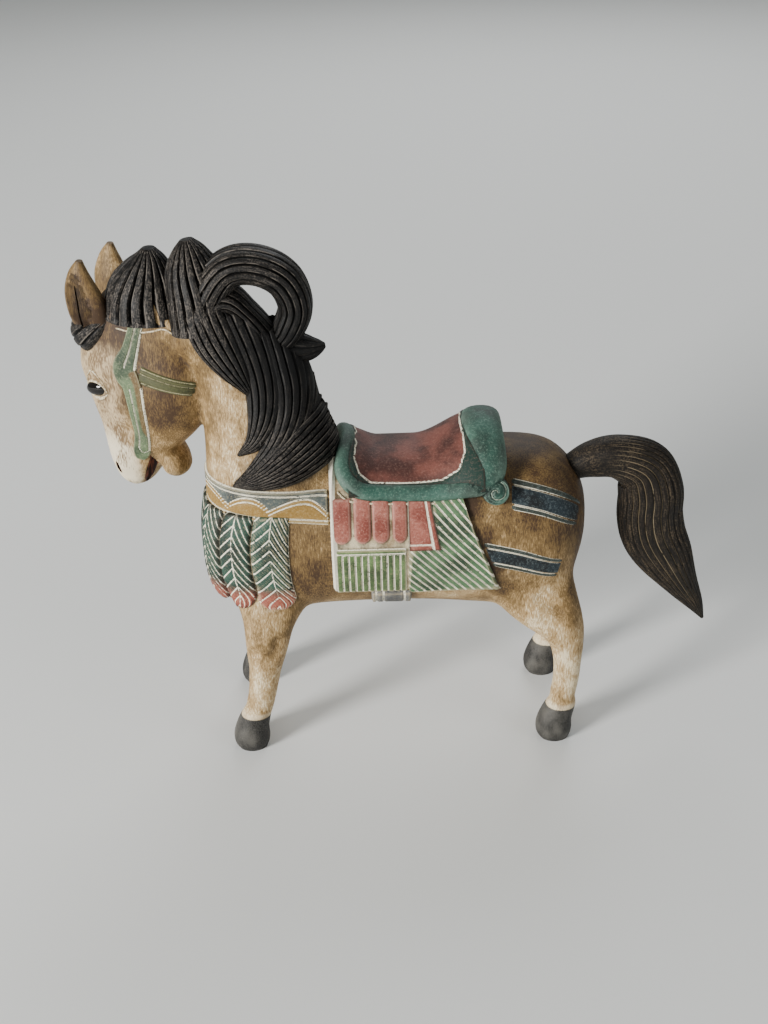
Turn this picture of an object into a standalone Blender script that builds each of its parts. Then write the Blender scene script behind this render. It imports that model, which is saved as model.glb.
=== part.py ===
"""A carved and painted wooden carousel horse for a table top, standing on its four hooves.

The horse is one carving: body, head, mane, saddle, cloth, collar and legs in one solid.
The tail is carved separately and set against the rump.
Run it with: blender --background --python part.py
"""

import math

import bmesh
import bpy
import numpy as np
from mathutils import Matrix, Vector
from mathutils.bvhtree import BVHTree

# Driving sizes, in metres
HEIGHT = 0.455  # floor to the top of the mane
BODY_WIDTH = 0.120  # across the barrel at its widest
STANCE = 0.098  # between the centres of the left and right hooves
HEAD_TURN = math.radians(22)  # the head looks away to the horse's right
CLOTH_PROUD = 0.0027  # the saddle cloth stands this far off the body
FLUTE_PROUD = 0.0017  # each flute of the cloth swells this much more
SEAT_PROUD = 0.0030  # the saddle's seat, at its lowest
CANTLE_RISE = 0.0185  # the seat climbs this much more towards the back of the saddle
POMMEL_RISE = 0.0085  # and this much towards the front
ROLL_SIZE = 0.0135  # across the saddle's rolled border at the sides
SCROLL_SIZE = 0.027  # across the round scroll at each end of the cantle
COLLAR_PROUD = 0.0020
FEATHER_PROUD = 0.0045
STRAP_PROUD = 0.0020  # the bridle's straps
BUCKLE_PROUD = 0.0035
BUCKLE_LENGTH = 0.034  # the girth's buckle, along the belly
EYE_SIZE = 0.018
NOSTRIL_SIZE = 0.009
TAIL_GAP = 0.0004  # joint between the tail's root and the rump

# The carver's squared pattern: free forms are drawn in squares of this side.
# The pattern's x runs from head to tail with 0 midway between the hooves, y from left to right
# with 0 on the middle plane, and z up from a base line half a square below the soles.
TOP_LINE = 46.0
SOLE_LINE = 0.5
SQUARE = HEIGHT / (TOP_LINE - SOLE_LINE)
HALF_BODY = BODY_WIDTH / 2 / SQUARE
HALF_STANCE = STANCE / 2 / SQUARE

# Colours of the aged paint
COAT_PAINT = (0.42, 0.27, 0.13, 1.0)
TAIL_PAINT = (0.06, 0.045, 0.035, 1.0)

# The voxels that fuse the body's masses, in squares, and the facets that the body is cut down to
BROAD_VOXEL = 0.3
CARVED_VOXEL = 0.13
FINE_VOXEL = 0.2
BODY_FACETS = 9000
HORSE_FACETS = 8100

# Stations of the body's masses, in squares
# The barrel's sections stand square to x: x, z, half height, half width
BARREL = [
    (-16.5, 19.6, 1.6, 0.20 * HALF_BODY),
    (-15.9, 19.7, 4.4, 0.55 * HALF_BODY),
    (-14.0, 20.0, 6.3, 0.84 * HALF_BODY),
    (-10.5, 20.4, 7.1, 0.96 * HALF_BODY),
    (-5.0, 20.7, 7.0, 0.99 * HALF_BODY),
    (2.0, 20.7, 7.0, HALF_BODY),
    (8.0, 20.5, 7.4, HALF_BODY),
    (12.3, 20.3, 7.2, 0.97 * HALF_BODY),
    (14.6, 20.6, 5.3, 0.76 * HALF_BODY),
    (15.9, 21.2, 2.3, 0.36 * HALF_BODY),
]
# The other masses run along a path: x, y, z, half depth, half width
NECK = [
    (-8.8, 0.0, 21.0, 7.0, 0.92 * HALF_BODY),
    (-10.2, 0.0, 26.0, 5.9, 0.84 * HALF_BODY),
    (-11.0, 0.0, 30.5, 4.9, 0.66 * HALF_BODY),
    (-11.7, 0.0, 34.5, 4.5, 0.54 * HALF_BODY),
    (-13.6, 0.0, 37.8, 3.7, 0.48 * HALF_BODY),
    (-16.4, 0.0, 39.6, 2.6, 0.42 * HALF_BODY),
]
FRONT_LEG = [
    (-10.9, -0.62 * HALF_STANCE, 18.5, 3.6, 1.7),
    (-11.1, -0.76 * HALF_STANCE, 15.2, 3.1, 1.9),
    (-11.4, -0.86 * HALF_STANCE, 13.2, 2.3, 1.75),
    (-11.7, -0.92 * HALF_STANCE, 10.8, 1.9, 1.6),
    (-12.0, -0.95 * HALF_STANCE, 8.6, 1.5, 1.35),
    (-12.3, -0.98 * HALF_STANCE, 6.6, 1.35, 1.25),
    (-12.7, -HALF_STANCE, 4.9, 1.3, 1.25),
    (-13.0, -HALF_STANCE, 3.9, 1.3, 1.25),
]
HIND_LEG = [
    (10.3, -0.58 * HALF_STANCE, 19.5, 4.2, 1.7),
    (11.4, -0.70 * HALF_STANCE, 16.0, 3.7, 1.9),
    (12.7, -0.80 * HALF_STANCE, 13.9, 3.0, 1.8),
    (14.0, -0.88 * HALF_STANCE, 11.9, 2.05, 1.65),
    (14.5, -0.93 * HALF_STANCE, 9.8, 1.45, 1.35),
    (14.5, -0.97 * HALF_STANCE, 6.9, 1.25, 1.2),
    (14.2, -HALF_STANCE, 4.9, 1.2, 1.2),
    (14.1, -HALF_STANCE, 3.9, 1.3, 1.25),
]
# A hoof from its flat sole up, about the sole's centre
HOOF_TOES = (-13.6, 13.6)
HOOF = [
    (0.0, 0.0, SOLE_LINE, 1.2, 1.1),
    (0.0, 0.0, 0.75, 1.5, 1.4),
    (-0.05, 0.0, 1.6, 1.65, 1.55),
    (0.1, 0.0, 2.8, 1.5, 1.45),
    (0.3, 0.0, 4.0, 1.35, 1.3),
    (0.4, 0.0, 4.7, 1.2, 1.2),
]
# The head is drawn on its own plane, which turns about an upright line at the neck:
# forward of that line, to the left of the plane, z, half depth, half width
HEAD_PIVOT_X = -15.0
SKULL = [
    (2.4, 0.0, 40.4, 3.0, 2.3),
    (4.4, 0.0, 38.2, 5.2, 2.8),
    (5.4, 0.0, 35.4, 6.0, 3.15),
    (5.7, 0.0, 33.2, 5.8, 3.2),
    (6.2, 0.0, 31.3, 5.1, 2.95),
    (6.8, 0.0, 29.4, 4.0, 2.55),
    (7.4, 0.0, 27.6, 2.8, 2.25),
    (7.5, 0.0, 26.0, 2.25, 2.2),
    (7.4, 0.0, 24.8, 1.7, 1.95),
    (7.2, 0.0, 24.0, 0.9, 1.3),
]
JAW = [
    (4.6, 0.0, 32.2, 2.8, 2.4),
    (4.1, 0.0, 29.6, 2.0, 2.05),
    (3.8, 0.0, 27.8, 1.4, 1.7),
    (3.7, 0.0, 26.5, 1.2, 1.6),
    (3.7, 0.0, 25.6, 1.0, 1.4),
    (3.7, 0.0, 25.1, 0.5, 0.8),
]
MOUTH = (5.3, 27.4)  # the mouth's corner on the head's plane, and its lips' gap below
LIP_GAP = (4.7, 6.1)
LIP_LINE = 23.0
LIP_REACH = 4.0  # the cut between the lips runs this far past the head's middle plane
EYE = (8.9, 33.2)
NOSTRIL = (7.5, 26.6)
# Ears, from base to tip, and the hollow that opens each of them outwards
EAR = [
    (8.9, 2.0, 38.2, 1.5, 0.8),
    (9.1, 2.2, 39.8, 1.75, 0.95),
    (9.4, 2.3, 41.4, 1.6, 0.9),
    (9.4, 2.3, 42.9, 1.0, 0.6),
    (9.2, 2.3, 44.1, 0.25, 0.3),
]
EAR_HOLLOW = [
    (9.2, 3.0, 38.9, 0.7, 0.5),
    (9.4, 3.0, 40.2, 1.15, 0.75),
    (9.6, 3.0, 41.5, 1.0, 0.7),
    (9.5, 2.9, 43.0, 0.35, 0.4),
]
# Hair that stands clear of the neck, drawn on the head's plane or on the middle plane
FORELOCK = [
    (9.9, 0.8, 38.6, 0.8, 0.9),
    (10.5, 0.8, 37.7, 1.4, 1.6),
    (10.7, 0.8, 36.6, 1.6, 1.8),
    (10.4, 0.8, 35.7, 1.1, 1.3),
    (10.2, 0.8, 35.3, 0.4, 0.5),
]
POLL_LOCKS = (
    [(5.6, 0.0, 38.4, 3.0, 3.2), (5.1, 0.0, 41.0, 2.7, 2.8), (4.1, 0.0, 42.8, 1.8, 2.0),
     (3.5, 0.0, 44.2, 1.0, 1.2), (3.4, 0.0, 45.0, 0.4, 0.5)],
    [(-0.2, 0.0, 37.4, 2.1, 3.2), (0.0, 0.0, 41.0, 2.0, 2.8), (0.3, 0.0, 43.6, 1.8, 2.2),
     (0.6, 0.0, 45.2, 1.3, 1.4), (0.7, 0.0, TOP_LINE, 0.5, 0.6)],
)
CURL = [
    (-15.2, -0.4, 39.0, 1.5, 2.4),
    (-14.2, -0.5, 41.8, 1.6, 2.3),
    (-12.6, -0.6, 43.8, 1.5, 2.2),
    (-10.4, -0.7, 44.0, 1.5, 2.1),
    (-8.4, -0.8, 42.9, 1.5, 2.0),
    (-7.6, -0.9, 40.8, 1.4, 1.8),
    (-8.3, -0.9, 38.8, 1.3, 1.6),
    (-9.4, -0.8, 37.4, 0.9, 1.2),
]
REAR_LOCK = [
    (-9.6, -0.5, 37.8, 1.2, 1.3),
    (-7.7, -0.6, 37.6, 1.0, 1.1),
    (-6.3, -0.6, 37.1, 0.6, 0.7),
    (-5.3, -0.6, 36.8, 0.1, 0.15),
]
# Locks that lie on the neck: x, z, half width; then thickness, and the strands cut in them
NEAR_LOCKS = (
    ([(-14.8, 41.0, 1.6), (-13.8, 38.8, 1.9), (-12.7, 36.8, 1.5), (-11.8, 35.2, 0.8),
      (-11.2, 33.9, 0.15)], 0.9, 4),
    ([(-12.2, 40.6, 1.6), (-11.0, 38.0, 1.7), (-10.3, 35.2, 1.6), (-10.4, 32.6, 1.4),
      (-11.3, 30.5, 0.8), (-12.7, 29.3, 0.15)], 0.7, 4),
    ([(-9.4, 39.0, 1.5), (-8.6, 37.0, 1.8), (-8.0, 34.5, 2.0), (-8.2, 32.0, 1.9),
      (-9.3, 29.8, 1.5), (-11.2, 28.0, 0.9), (-13.1, 26.9, 0.15)], 0.8, 5),
    ([(-5.4, 30.9, 3.0), (-6.8, 30.2, 2.8), (-8.9, 28.7, 2.0), (-11.2, 27.4, 1.0),
      (-13.2, 26.7, 0.15)], 1.0, 7),
)
# On the far side the mane is a plain row of falling locks: where each starts and ends
FAR_LOCK_TOPS = ((-15.0, 39.6), (-12.2, 39.0), (-9.6, 36.2), (-7.8, 32.8))
FAR_LOCK_FALL = (-2.0, -6.2)
FAR_LOCK_HALF = 1.7
FAR_LOCK_THICK = 0.7
NECK_MIDDLE = (-11.0, 30.0)  # a place well inside the neck's side view
# The tail, from its root on the rump
TAIL = [
    (14.6, 0.0, 25.6, 1.45, 1.5),
    (16.6, 0.0, 25.9, 1.6, 1.5),
    (18.7, 0.0, 26.0, 1.9, 1.7),
    (20.9, 0.0, 24.9, 2.5, 1.8),
    (21.7, 0.0, 22.7, 2.8, 1.8),
    (21.8, 0.0, 20.4, 2.85, 1.7),
    (22.3, 0.0, 18.3, 2.8, 1.6),
    (23.5, 0.0, 16.0, 2.45, 1.4),
    (25.0, 0.0, 13.4, 1.6, 1.1),
    (26.5, 0.0, 11.0, 0.8, 0.7),
    (27.4, 0.0, 9.3, 0.15, 0.2),
]
TAIL_STRANDS = 6
STRAND_CUT = 0.16  # depth of the cuts between strands, as a share of the lock's half thickness

# The saddle and its cloth: x on the barrel, and degrees round it from the top of the back
AXIS_Z = 20.5
CLOTH_FRONT = -5.35
CLOTH_BACK = (5.3, 8.2)  # under the saddle, and at the hem
CLOTH_HEM = 125.0
FLUTE_SPAN = (-5.0, 0.7)
FLUTES = 4
FLUTE_RISE = (44.0, 77.0)
SEAT_SPAN = (-4.0, 7.0)
SEAT_HALF_TURN = 44.0
CANTLE_SPAN = (1.5, 6.6)  # where the seat climbs to the back, and to the front
POMMEL_SPAN = (-1.5, -4.0)
# The rolled border, from the middle of the pommel down the left side and up to the middle of the
# cantle: x, turn, height of its core above the seat's face, share of the roll's size
ROLL = [
    (-4.3, 0.0, -0.15, 1.0), (-4.5, 18.0, -0.3, 1.0), (-4.3, 31.0, -0.3, 1.05),
    (-3.2, 39.5, -0.25, 1.05), (-1.2, 41.5, -0.2, 1.05), (2.5, 42.5, -0.2, 1.05),
    (5.2, 41.5, -0.3, 1.1), (6.9, 39.0, -0.6, 1.4), (7.5, 31.0, -0.6, 2.0),
    (7.2, 16.0, -0.5, 2.4), (7.1, 0.0, -0.4, 2.5),
]
SCROLL = (8.0, 46.0)
SCROLL_DEPTH = 2.4
BUCKLE_X = -0.8
BUCKLE_TURNS = (124.0, 142.0)
# The collar and its feathers: degrees round the chest from its middle, about an upright axis
CHEST_AXIS_X = -6.0
CHEST_REACH = 11.1  # from that axis to a place between the chest and the chin
COLLAR_HALF_TURN = 91.0
COLLAR_BAND = (24.1, 26.7)
COLLAR_FALL = 0.6  # towards the shoulders
# where one feather meets the next
FEATHER_EDGES = (-65.0, -41.0, -26.0, -9.0, 9.0, 26.0, 41.0, 65.0)
FEATHER_GAP = 0.6
FEATHER_FALL = (24.3, 15.4)
FEATHER_ROUND = 0.8  # the tip is rounded from this share of the fall down
# Bridle straps on the side of the head: forward, z, half width
CHEEK_STRAP = [
    (5.2, 39.2, 0.8), (5.4, 36.6, 0.75), (5.6, 35.2, 1.1), (5.3, 33.4, 0.8), (5.2, 31.0, 0.8),
    (5.2, 29.6, 0.8), (5.3, 28.0, 0.15),
]
JAW_STRAP = [(4.8, 34.6, 0.45), (2.4, 34.5, 0.4), (0.2, 34.2, 0.4)]


def spread(stations, count):
    """Read count evenly spaced rows from a smooth curve through the stations."""
    table = np.array(stations, dtype=float)
    last = len(table) - 1
    rows = []
    for step in np.linspace(0, last, count):
        i = min(int(step), last - 1)
        u = step - i
        here, there = table[i], table[i + 1]
        before = table[i - 1] if i else 2 * here - there
        after = table[i + 2] if i + 2 <= last else 2 * there - here
        rows.append(0.5 * (2 * here + (there - before) * u
                           + (2 * before - 5 * here + 4 * there - after) * u ** 2
                           + (3 * here - before - 3 * there + after) * u ** 3))
    return np.array(rows)


def ease(low, high, value):
    """Rise smoothly from 0 at low to 1 at high."""
    share = min(max((value - low) / (high - low), 0.0), 1.0)
    return share * share * (3 - 2 * share)


def strand(place, strands):
    """Height of the strands across a lock, 0 in the cuts between them; place runs -1 to 1."""
    return abs(math.sin(math.pi * strands * (place + 1) / 2)) ** 0.6


def section(centre, depth_way, width_way, depth, width, sides, power, strands):
    """Points of a rounded-square section about a centre."""
    points = []
    for step in range(sides):
        angle = 2 * math.pi * (step + 0.5) / sides
        c, s = math.cos(angle), math.sin(angle)
        across = math.copysign(abs(c) ** (2 / power), c) * width
        down = math.copysign(abs(s) ** (2 / power), s)
        if strands:
            across *= 1 - STRAND_CUT * (1 - strand(down, strands))
        points.append(centre + across * width_way + down * depth * depth_way)
    return points


def new_object(name, bm):
    mesh = bpy.data.meshes.new(name)
    bm.to_mesh(mesh)
    bm.free()
    item = bpy.data.objects.new(name, mesh)
    bpy.context.scene.collection.objects.link(item)
    return item


def loft(name, rings, closed=False):
    """Skin a row of rings; close both ends, or join the last ring to the first."""
    bm = bmesh.new()
    loops = [[bm.verts.new(point) for point in ring] for ring in rings]
    for low, high in zip(loops, loops[1:] + (loops[:1] if closed else [])):
        for i in range(len(low)):
            j = (i + 1) % len(low)
            bm.faces.new((low[i], low[j], high[j], high[i]))
    if not closed:
        bm.faces.new(reversed(loops[0]))
        bm.faces.new(loops[-1])
    bmesh.ops.recalc_face_normals(bm, faces=bm.faces)
    return new_object(name, bm)


def sweep(name, stations, count, sides, power=2.0, width_way=(0.0, 1.0, 0.0), strands=0):
    """Skin sections that stand square to the path through the stations."""
    rows = spread(stations, count)
    width_way = np.array(width_way)
    rings = []
    for row, way in zip(rows, np.gradient(rows[:, :3], axis=0)):
        depth_way = np.cross(way, width_way)
        depth_way /= np.linalg.norm(depth_way)
        rings.append(section(row[:3], depth_way, width_way, max(row[3], 0.05),
                             max(row[4], 0.05), sides, power, strands))
    return loft(name, rings)


def barrel(count, sides):
    up, right = np.array((0.0, 0.0, 1.0)), np.array((0.0, 1.0, 0.0))
    rings = [section(np.array((x, 0.0, z)), up, right, height, width, sides, 2.4, 0)
             for x, z, height, width in spread(BARREL, count)]
    return loft("barrel", rings)


HEAD_WAY = np.array((-math.cos(HEAD_TURN), math.sin(HEAD_TURN), 0.0))
HEAD_LEFT = np.array((-math.sin(HEAD_TURN), -math.cos(HEAD_TURN), 0.0))


def on_head(forward, left, z):
    """A place of the head's own plane, on the horse."""
    return np.array((HEAD_PIVOT_X, 0.0, z)) + forward * HEAD_WAY + left * HEAD_LEFT


def turned(stations, side=1):
    return [tuple(on_head(row[0], side * row[1], row[2])) + tuple(row[3:]) for row in stations]


def sided(stations, side):
    """The stations on the left side for 1, and mirrored to the right for -1."""
    return [(row[0], side * row[1]) + tuple(row[2:]) for row in stations]


def applied(item):
    """Bake an object's modifiers into its mesh."""
    graph = bpy.context.evaluated_depsgraph_get()
    baked = bpy.data.meshes.new_from_object(item.evaluated_get(graph))
    item.modifiers.clear()
    item.data = baked


def remeshed(item, voxel):
    """Skin an object anew with even faces."""
    remesh = item.modifiers.new("Skin", "REMESH")
    remesh.mode = "VOXEL"
    remesh.voxel_size = voxel
    applied(item)


def fused(name, items, voxel, rounds):
    """Fuse overlapping masses into one skin, and rub its inner corners round."""
    bm = bmesh.new()
    for item in items:
        bm.from_mesh(item.data)
        bpy.data.objects.remove(item, do_unlink=True)
    item = new_object(name, bm)
    remeshed(item, voxel)
    bm = bmesh.new()
    bm.from_mesh(item.data)
    for _ in range(rounds):
        bmesh.ops.smooth_vert(bm, verts=bm.verts, factor=0.5,
                              use_axis_x=True, use_axis_y=True, use_axis_z=True)
    bm.to_mesh(item.data)
    bm.free()
    return item


def thinned(item, facets):
    """Cut a mesh down to about so many triangles, where it is flattest first."""
    item.data.calc_loop_triangles()
    thin = item.modifiers.new("Facets", "DECIMATE")
    thin.ratio = min(1.0, facets / len(item.data.loop_triangles))
    thin.use_collapse_triangulate = True
    applied(item)


def cut(item, tools, operation, collection):
    """Join tools to the item, or cut them from it, in one Boolean."""
    for tool in tools:
        for other in list(tool.users_collection):
            other.objects.unlink(tool)
        collection.objects.link(tool)
    boolean = item.modifiers.new(operation, "BOOLEAN")
    boolean.operation = operation
    boolean.solver = "MANIFOLD"  # EXACT leaves open edges where many locks cross
    boolean.operand_type = "COLLECTION"
    boolean.collection = collection
    applied(item)
    for tool in tools:
        bpy.data.objects.remove(tool, do_unlink=True)


class Skin:
    """The fused body, on which the carved trappings and locks are laid out."""

    REACH = 30.0

    def __init__(self, item):
        bm = bmesh.new()
        bm.from_mesh(item.data)
        self.tree = BVHTree.FromBMesh(bm)
        bm.free()

    def meet(self, axis, out, reach=REACH):
        """Where a line from outside towards the axis meets the body."""
        out = np.array(out)
        start = np.array(axis) + reach * out
        place, normal, _, _ = self.tree.ray_cast(Vector(start), Vector(-out))
        if place is None:
            return None
        return np.array(place), np.array(normal)

    def barrel(self, x, turn):
        angle = math.radians(turn)
        return self.meet((x, 0.0, AXIS_Z), (0.0, -math.sin(angle), math.cos(angle)))

    def chest(self, turn, z):
        angle = math.radians(turn)
        out = (-math.cos(angle), -math.sin(angle), 0.0)
        return self.meet((CHEST_AXIS_X, 0.0, z), out, CHEST_REACH)

    def neck(self, x, z, side):
        """The side of the neck; past its edge, the nearest place that is still on it."""
        middle, level = NECK_MIDDLE
        for share in np.linspace(1.0, 0.0, 30):
            found = self.meet((middle + share * (x - middle), 0.0, z), (0.0, -side, 0.0))
            if found:
                return found
        return self.meet((middle, 0.0, level), (0.0, -side, 0.0))

    def head(self, forward, z, side):
        return self.meet(on_head(forward, 0.0, z), side * HEAD_LEFT)


def patch(name, place, lift, across, along, sink=0.5):
    """A sheet carved on the body: its face stands off by lift, its back lies inside the wood."""
    bm = bmesh.new()
    faces, backs = [], []
    for i in range(across + 1):
        for j in range(along + 1):
            u, v = i / across, j / along
            point, normal = place(u, v)
            faces.append(bm.verts.new(point + lift(u, v) * normal))
            backs.append(bm.verts.new(point - sink * normal))
    row = along + 1
    for i in range(across):
        for j in range(along):
            a, b, c, d = i * row + j, (i + 1) * row + j, (i + 1) * row + j + 1, i * row + j + 1
            bm.faces.new((faces[a], faces[b], faces[c], faces[d]))
            bm.faces.new((backs[d], backs[c], backs[b], backs[a]))
    rim = [i * row for i in range(across + 1)]
    rim += [across * row + j for j in range(1, row)]
    rim += [i * row + along for i in range(across - 1, -1, -1)]
    rim += [j for j in range(along - 1, 0, -1)]
    for a, b in zip(rim, rim[1:] + rim[:1]):
        bm.faces.new((faces[b], faces[a], backs[a], backs[b]))
    bmesh.ops.recalc_face_normals(bm, faces=bm.faces)
    return new_object(name, bm)


def strip(name, skin_at, stations, lift, across, along, sink=0.5):
    """A patch whose middle line and half width are given by stations on a flat layout."""
    rows = spread(stations, along + 1)
    ways = np.gradient(rows[:, :2], axis=0)
    ways /= np.linalg.norm(ways, axis=1, keepdims=True)

    def place(u, v):
        row, way = rows[round(v * along)], ways[round(v * along)]
        offset = (2 * u - 1) * max(row[2], 0.08)
        return skin_at(row[0] - way[1] * offset, row[1] + way[0] * offset)

    return patch(name, place, lift, across, along, sink)


def cloth(skin):
    """The cloth over the back, with its row of rounded flutes and its slanting rear edge."""
    proud, swell = CLOTH_PROUD / SQUARE, FLUTE_PROUD / SQUARE
    flutes_end = 0.72  # the share of the columns that the flutes take

    def turn_at(v):
        return CLOTH_HEM * (2 * v - 1)

    def x_at(u, v):
        slant = ease(SEAT_HALF_TURN, CLOTH_HEM, abs(turn_at(v)))
        back = CLOTH_BACK[0] + (CLOTH_BACK[1] - CLOTH_BACK[0]) * slant
        if u <= flutes_end:
            return CLOTH_FRONT + u / flutes_end * (FLUTE_SPAN[1] - CLOTH_FRONT)
        return FLUTE_SPAN[1] + (u - flutes_end) / (1 - flutes_end) * (back - FLUTE_SPAN[1])

    def lift(u, v):
        x, turn = x_at(u, v), abs(turn_at(v))
        height = proud
        if FLUTE_SPAN[0] <= x <= FLUTE_SPAN[1] + 0.01 and FLUTE_RISE[0] < turn < FLUTE_RISE[1]:
            share = (x - FLUTE_SPAN[0]) / (FLUTE_SPAN[1] - FLUTE_SPAN[0])
            height += swell * (strand(2 * share - 1, FLUTES) * 2 - 1)
        return height

    return patch("cloth", lambda u, v: skin.barrel(x_at(u, v), turn_at(v)), lift, 20, 30)


def seat_height(x, turn):
    """Height of the seat's face over the body."""
    crown = math.cos(math.radians(turn)) ** 2
    rise = CANTLE_RISE * ease(*CANTLE_SPAN, x) + POMMEL_RISE * ease(*POMMEL_SPAN, x)
    return (SEAT_PROUD + crown * rise) / SQUARE


def saddle(skin):
    """The seat, the rolled border round it, and the scrolls that end the cantle."""
    def x_at(u):
        return SEAT_SPAN[0] + u * (SEAT_SPAN[1] - SEAT_SPAN[0])

    def turn_at(v):
        return SEAT_HALF_TURN * (2 * v - 1)

    parts = [patch("seat", lambda u, v: skin.barrel(x_at(u), turn_at(v)),
                   lambda u, v: seat_height(x_at(u), turn_at(v)), 10, 14)]
    left = spread(ROLL, 24)
    right = [(x, -turn, height, share) for x, turn, height, share in left[-2:0:-1]]
    path = [tuple(row) for row in left] + right
    met = [skin.barrel(x, turn) for x, turn, _, _ in path]
    places = [point + (seat_height(row[0], row[1]) + row[2]) * normal
              for row, (point, normal) in zip(path, met)]
    half = ROLL_SIZE / 2 / SQUARE
    scroll = SCROLL_SIZE / 2 / SQUARE
    rings = []
    for i, (row, centre) in enumerate(zip(path, places)):
        way = places[(i + 1) % len(places)] - places[i - 1]
        across = np.cross(way, met[i][1])
        across /= np.linalg.norm(across)
        out = np.cross(across, way)
        out /= np.linalg.norm(out)
        thick = half * (0.9 + 0.35 * (row[3] - 1))
        rings.append(section(centre, out, across, thick, half * row[3], 10, 2.2, 0))
    parts.append(loft("roll", rings, closed=True))
    for side in (1, -1):
        point, _ = skin.barrel(SCROLL[0], side * SCROLL[1])
        bm = bmesh.new()
        bmesh.ops.create_cone(bm, cap_ends=True, segments=16, radius1=scroll,
                              radius2=0.8 * scroll, depth=SCROLL_DEPTH)
        turn = Vector((0, 0, 1)).rotation_difference(Vector((0.0, -side, 0.35)))
        bmesh.ops.rotate(bm, verts=bm.verts, matrix=turn.to_matrix())
        bmesh.ops.translate(bm, verts=bm.verts, vec=Vector(point))
        parts.append(new_object("scroll", bm))
    return parts


def collar(skin):
    """The breast collar, a low band round the chest that falls a little to the shoulders."""
    proud = COLLAR_PROUD / SQUARE

    def place(u, v):
        turn = COLLAR_HALF_TURN * (2 * u - 1)
        low = COLLAR_BAND[0] - COLLAR_FALL * abs(turn) / 90
        high = COLLAR_BAND[1] - COLLAR_FALL * abs(turn) / 90
        return skin.chest(turn, low + v * (high - low))

    return patch("collar", place, lambda u, v: proud, 24, 2)


def feathers(skin):
    """Round-tipped feathers that hang from the collar."""
    proud = FEATHER_PROUD / SQUARE
    parts = []
    for first, last in zip(FEATHER_EDGES, FEATHER_EDGES[1:]):
        middle = (first + last) / 2
        half = (last - first - FEATHER_GAP) / 2

        def place(u, v, middle=middle, half=half):
            tip = max(0.0, (v - FEATHER_ROUND) / (1 - FEATHER_ROUND))
            reach = half * math.sqrt(max(1 - 0.85 * tip ** 2, 0.05))
            z = FEATHER_FALL[0] + v * (FEATHER_FALL[1] - FEATHER_FALL[0])
            return skin.chest(middle + reach * (2 * u - 1), z)

        def lift(u, v):
            tip = max(0.0, (v - FEATHER_ROUND) / (1 - FEATHER_ROUND))
            return proud * (1 - 0.6 * (2 * u - 1) ** 2) * (1 - 0.5 * tip ** 2)

        parts.append(patch("feather", place, lift, 6, 9))
    return parts


def head_trappings(skin):
    """The bridle's straps and the eyes, on both sides of the head."""
    proud = STRAP_PROUD / SQUARE
    parts = []
    for side in (1, -1):
        for stations in (CHEEK_STRAP, JAW_STRAP):
            parts.append(strip("strap", lambda f, z, side=side: skin.head(f, z, side), stations,
                               lambda u, v: proud, 2, 2 * len(stations)))
        place, normal = skin.head(*EYE, side)
        bm = bmesh.new()
        bmesh.ops.create_uvsphere(bm, u_segments=12, v_segments=8, radius=EYE_SIZE / 2 / SQUARE)
        bmesh.ops.scale(bm, verts=bm.verts, vec=(1.0, 0.6, 0.6))
        bmesh.ops.translate(bm, verts=bm.verts, vec=Vector(place - 0.25 * normal))
        parts.append(new_object("eye", bm))
    return parts


def hair(skin):
    """The forelock, the locks over the poll, the looped curl and the locks on the neck."""
    left = HEAD_LEFT
    parts = [sweep("forelock", turned(FORELOCK), 9, 14, 2.0, left)]
    for stations in POLL_LOCKS:
        parts.append(sweep("poll_lock", turned(stations), 8, 20, 2.0, left, 4))
    parts.append(sweep("curl", CURL, 17, 20, 2.2, strands=4))
    parts.append(sweep("rear_lock", REAR_LOCK, 6, 10, 2.0))
    for stations, thick, strands in NEAR_LOCKS:
        def lift(u, v, thick=thick, strands=strands):
            body = 1 - 0.75 * abs(2 * u - 1) ** 3
            end = 1 - 0.6 * ease(0.6, 1.0, v)
            return thick * end * body * (0.72 + 0.28 * strand(2 * u - 1, strands))

        parts.append(strip("near_lock", lambda x, z: skin.neck(x, z, 1), stations, lift,
                           2 * strands, 3 * len(stations) - 3))
    for x, z in FAR_LOCK_TOPS:
        stations = [(x, z, FAR_LOCK_HALF),
                    (x + 0.1 * FAR_LOCK_FALL[0], z + 0.5 * FAR_LOCK_FALL[1], FAR_LOCK_HALF),
                    (x + FAR_LOCK_FALL[0], z + FAR_LOCK_FALL[1], 0.15)]
        parts.append(strip("far_lock", lambda a, b: skin.neck(a, b, -1), stations,
                           lambda u, v: FAR_LOCK_THICK * (1 - 0.7 * abs(2 * u - 1) ** 3), 4, 7))
    return parts


def girth(skin):
    """The buckle of the girth, a low block below the cloth's hem on each side."""
    half = BUCKLE_LENGTH / 2 / SQUARE
    parts = []
    for side in (1, -1):
        def place(u, v, side=side):
            turn = BUCKLE_TURNS[0] + v * (BUCKLE_TURNS[1] - BUCKLE_TURNS[0])
            return skin.barrel(BUCKLE_X + half * (2 * u - 1), side * turn)

        parts.append(patch("buckle", place, lambda u, v: BUCKLE_PROUD / SQUARE, 4, 3))
    return parts


def openings(skin):
    """What is cut out of the head: the mouth, the nostrils and the ears' hollows."""
    rings = []
    for left in (-LIP_REACH, LIP_REACH):
        rings.append([on_head(MOUTH[0], left, MOUTH[1]), on_head(LIP_GAP[0], left, LIP_LINE),
                      on_head(LIP_GAP[1], left, LIP_LINE)])
    cuts = [loft("mouth", rings)]
    for side in (1, -1):
        cuts.append(sweep("ear_hollow", turned(EAR_HOLLOW, side), 7, 8, 2.0, HEAD_LEFT))
        bm = bmesh.new()
        bmesh.ops.create_uvsphere(bm, u_segments=10, v_segments=6,
                                  radius=NOSTRIL_SIZE / 2 / SQUARE)
        bmesh.ops.translate(bm, verts=bm.verts, vec=Vector(skin.head(*NOSTRIL, side)[0]))
        cuts.append(new_object("nostril", bm))
    return cuts


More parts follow.
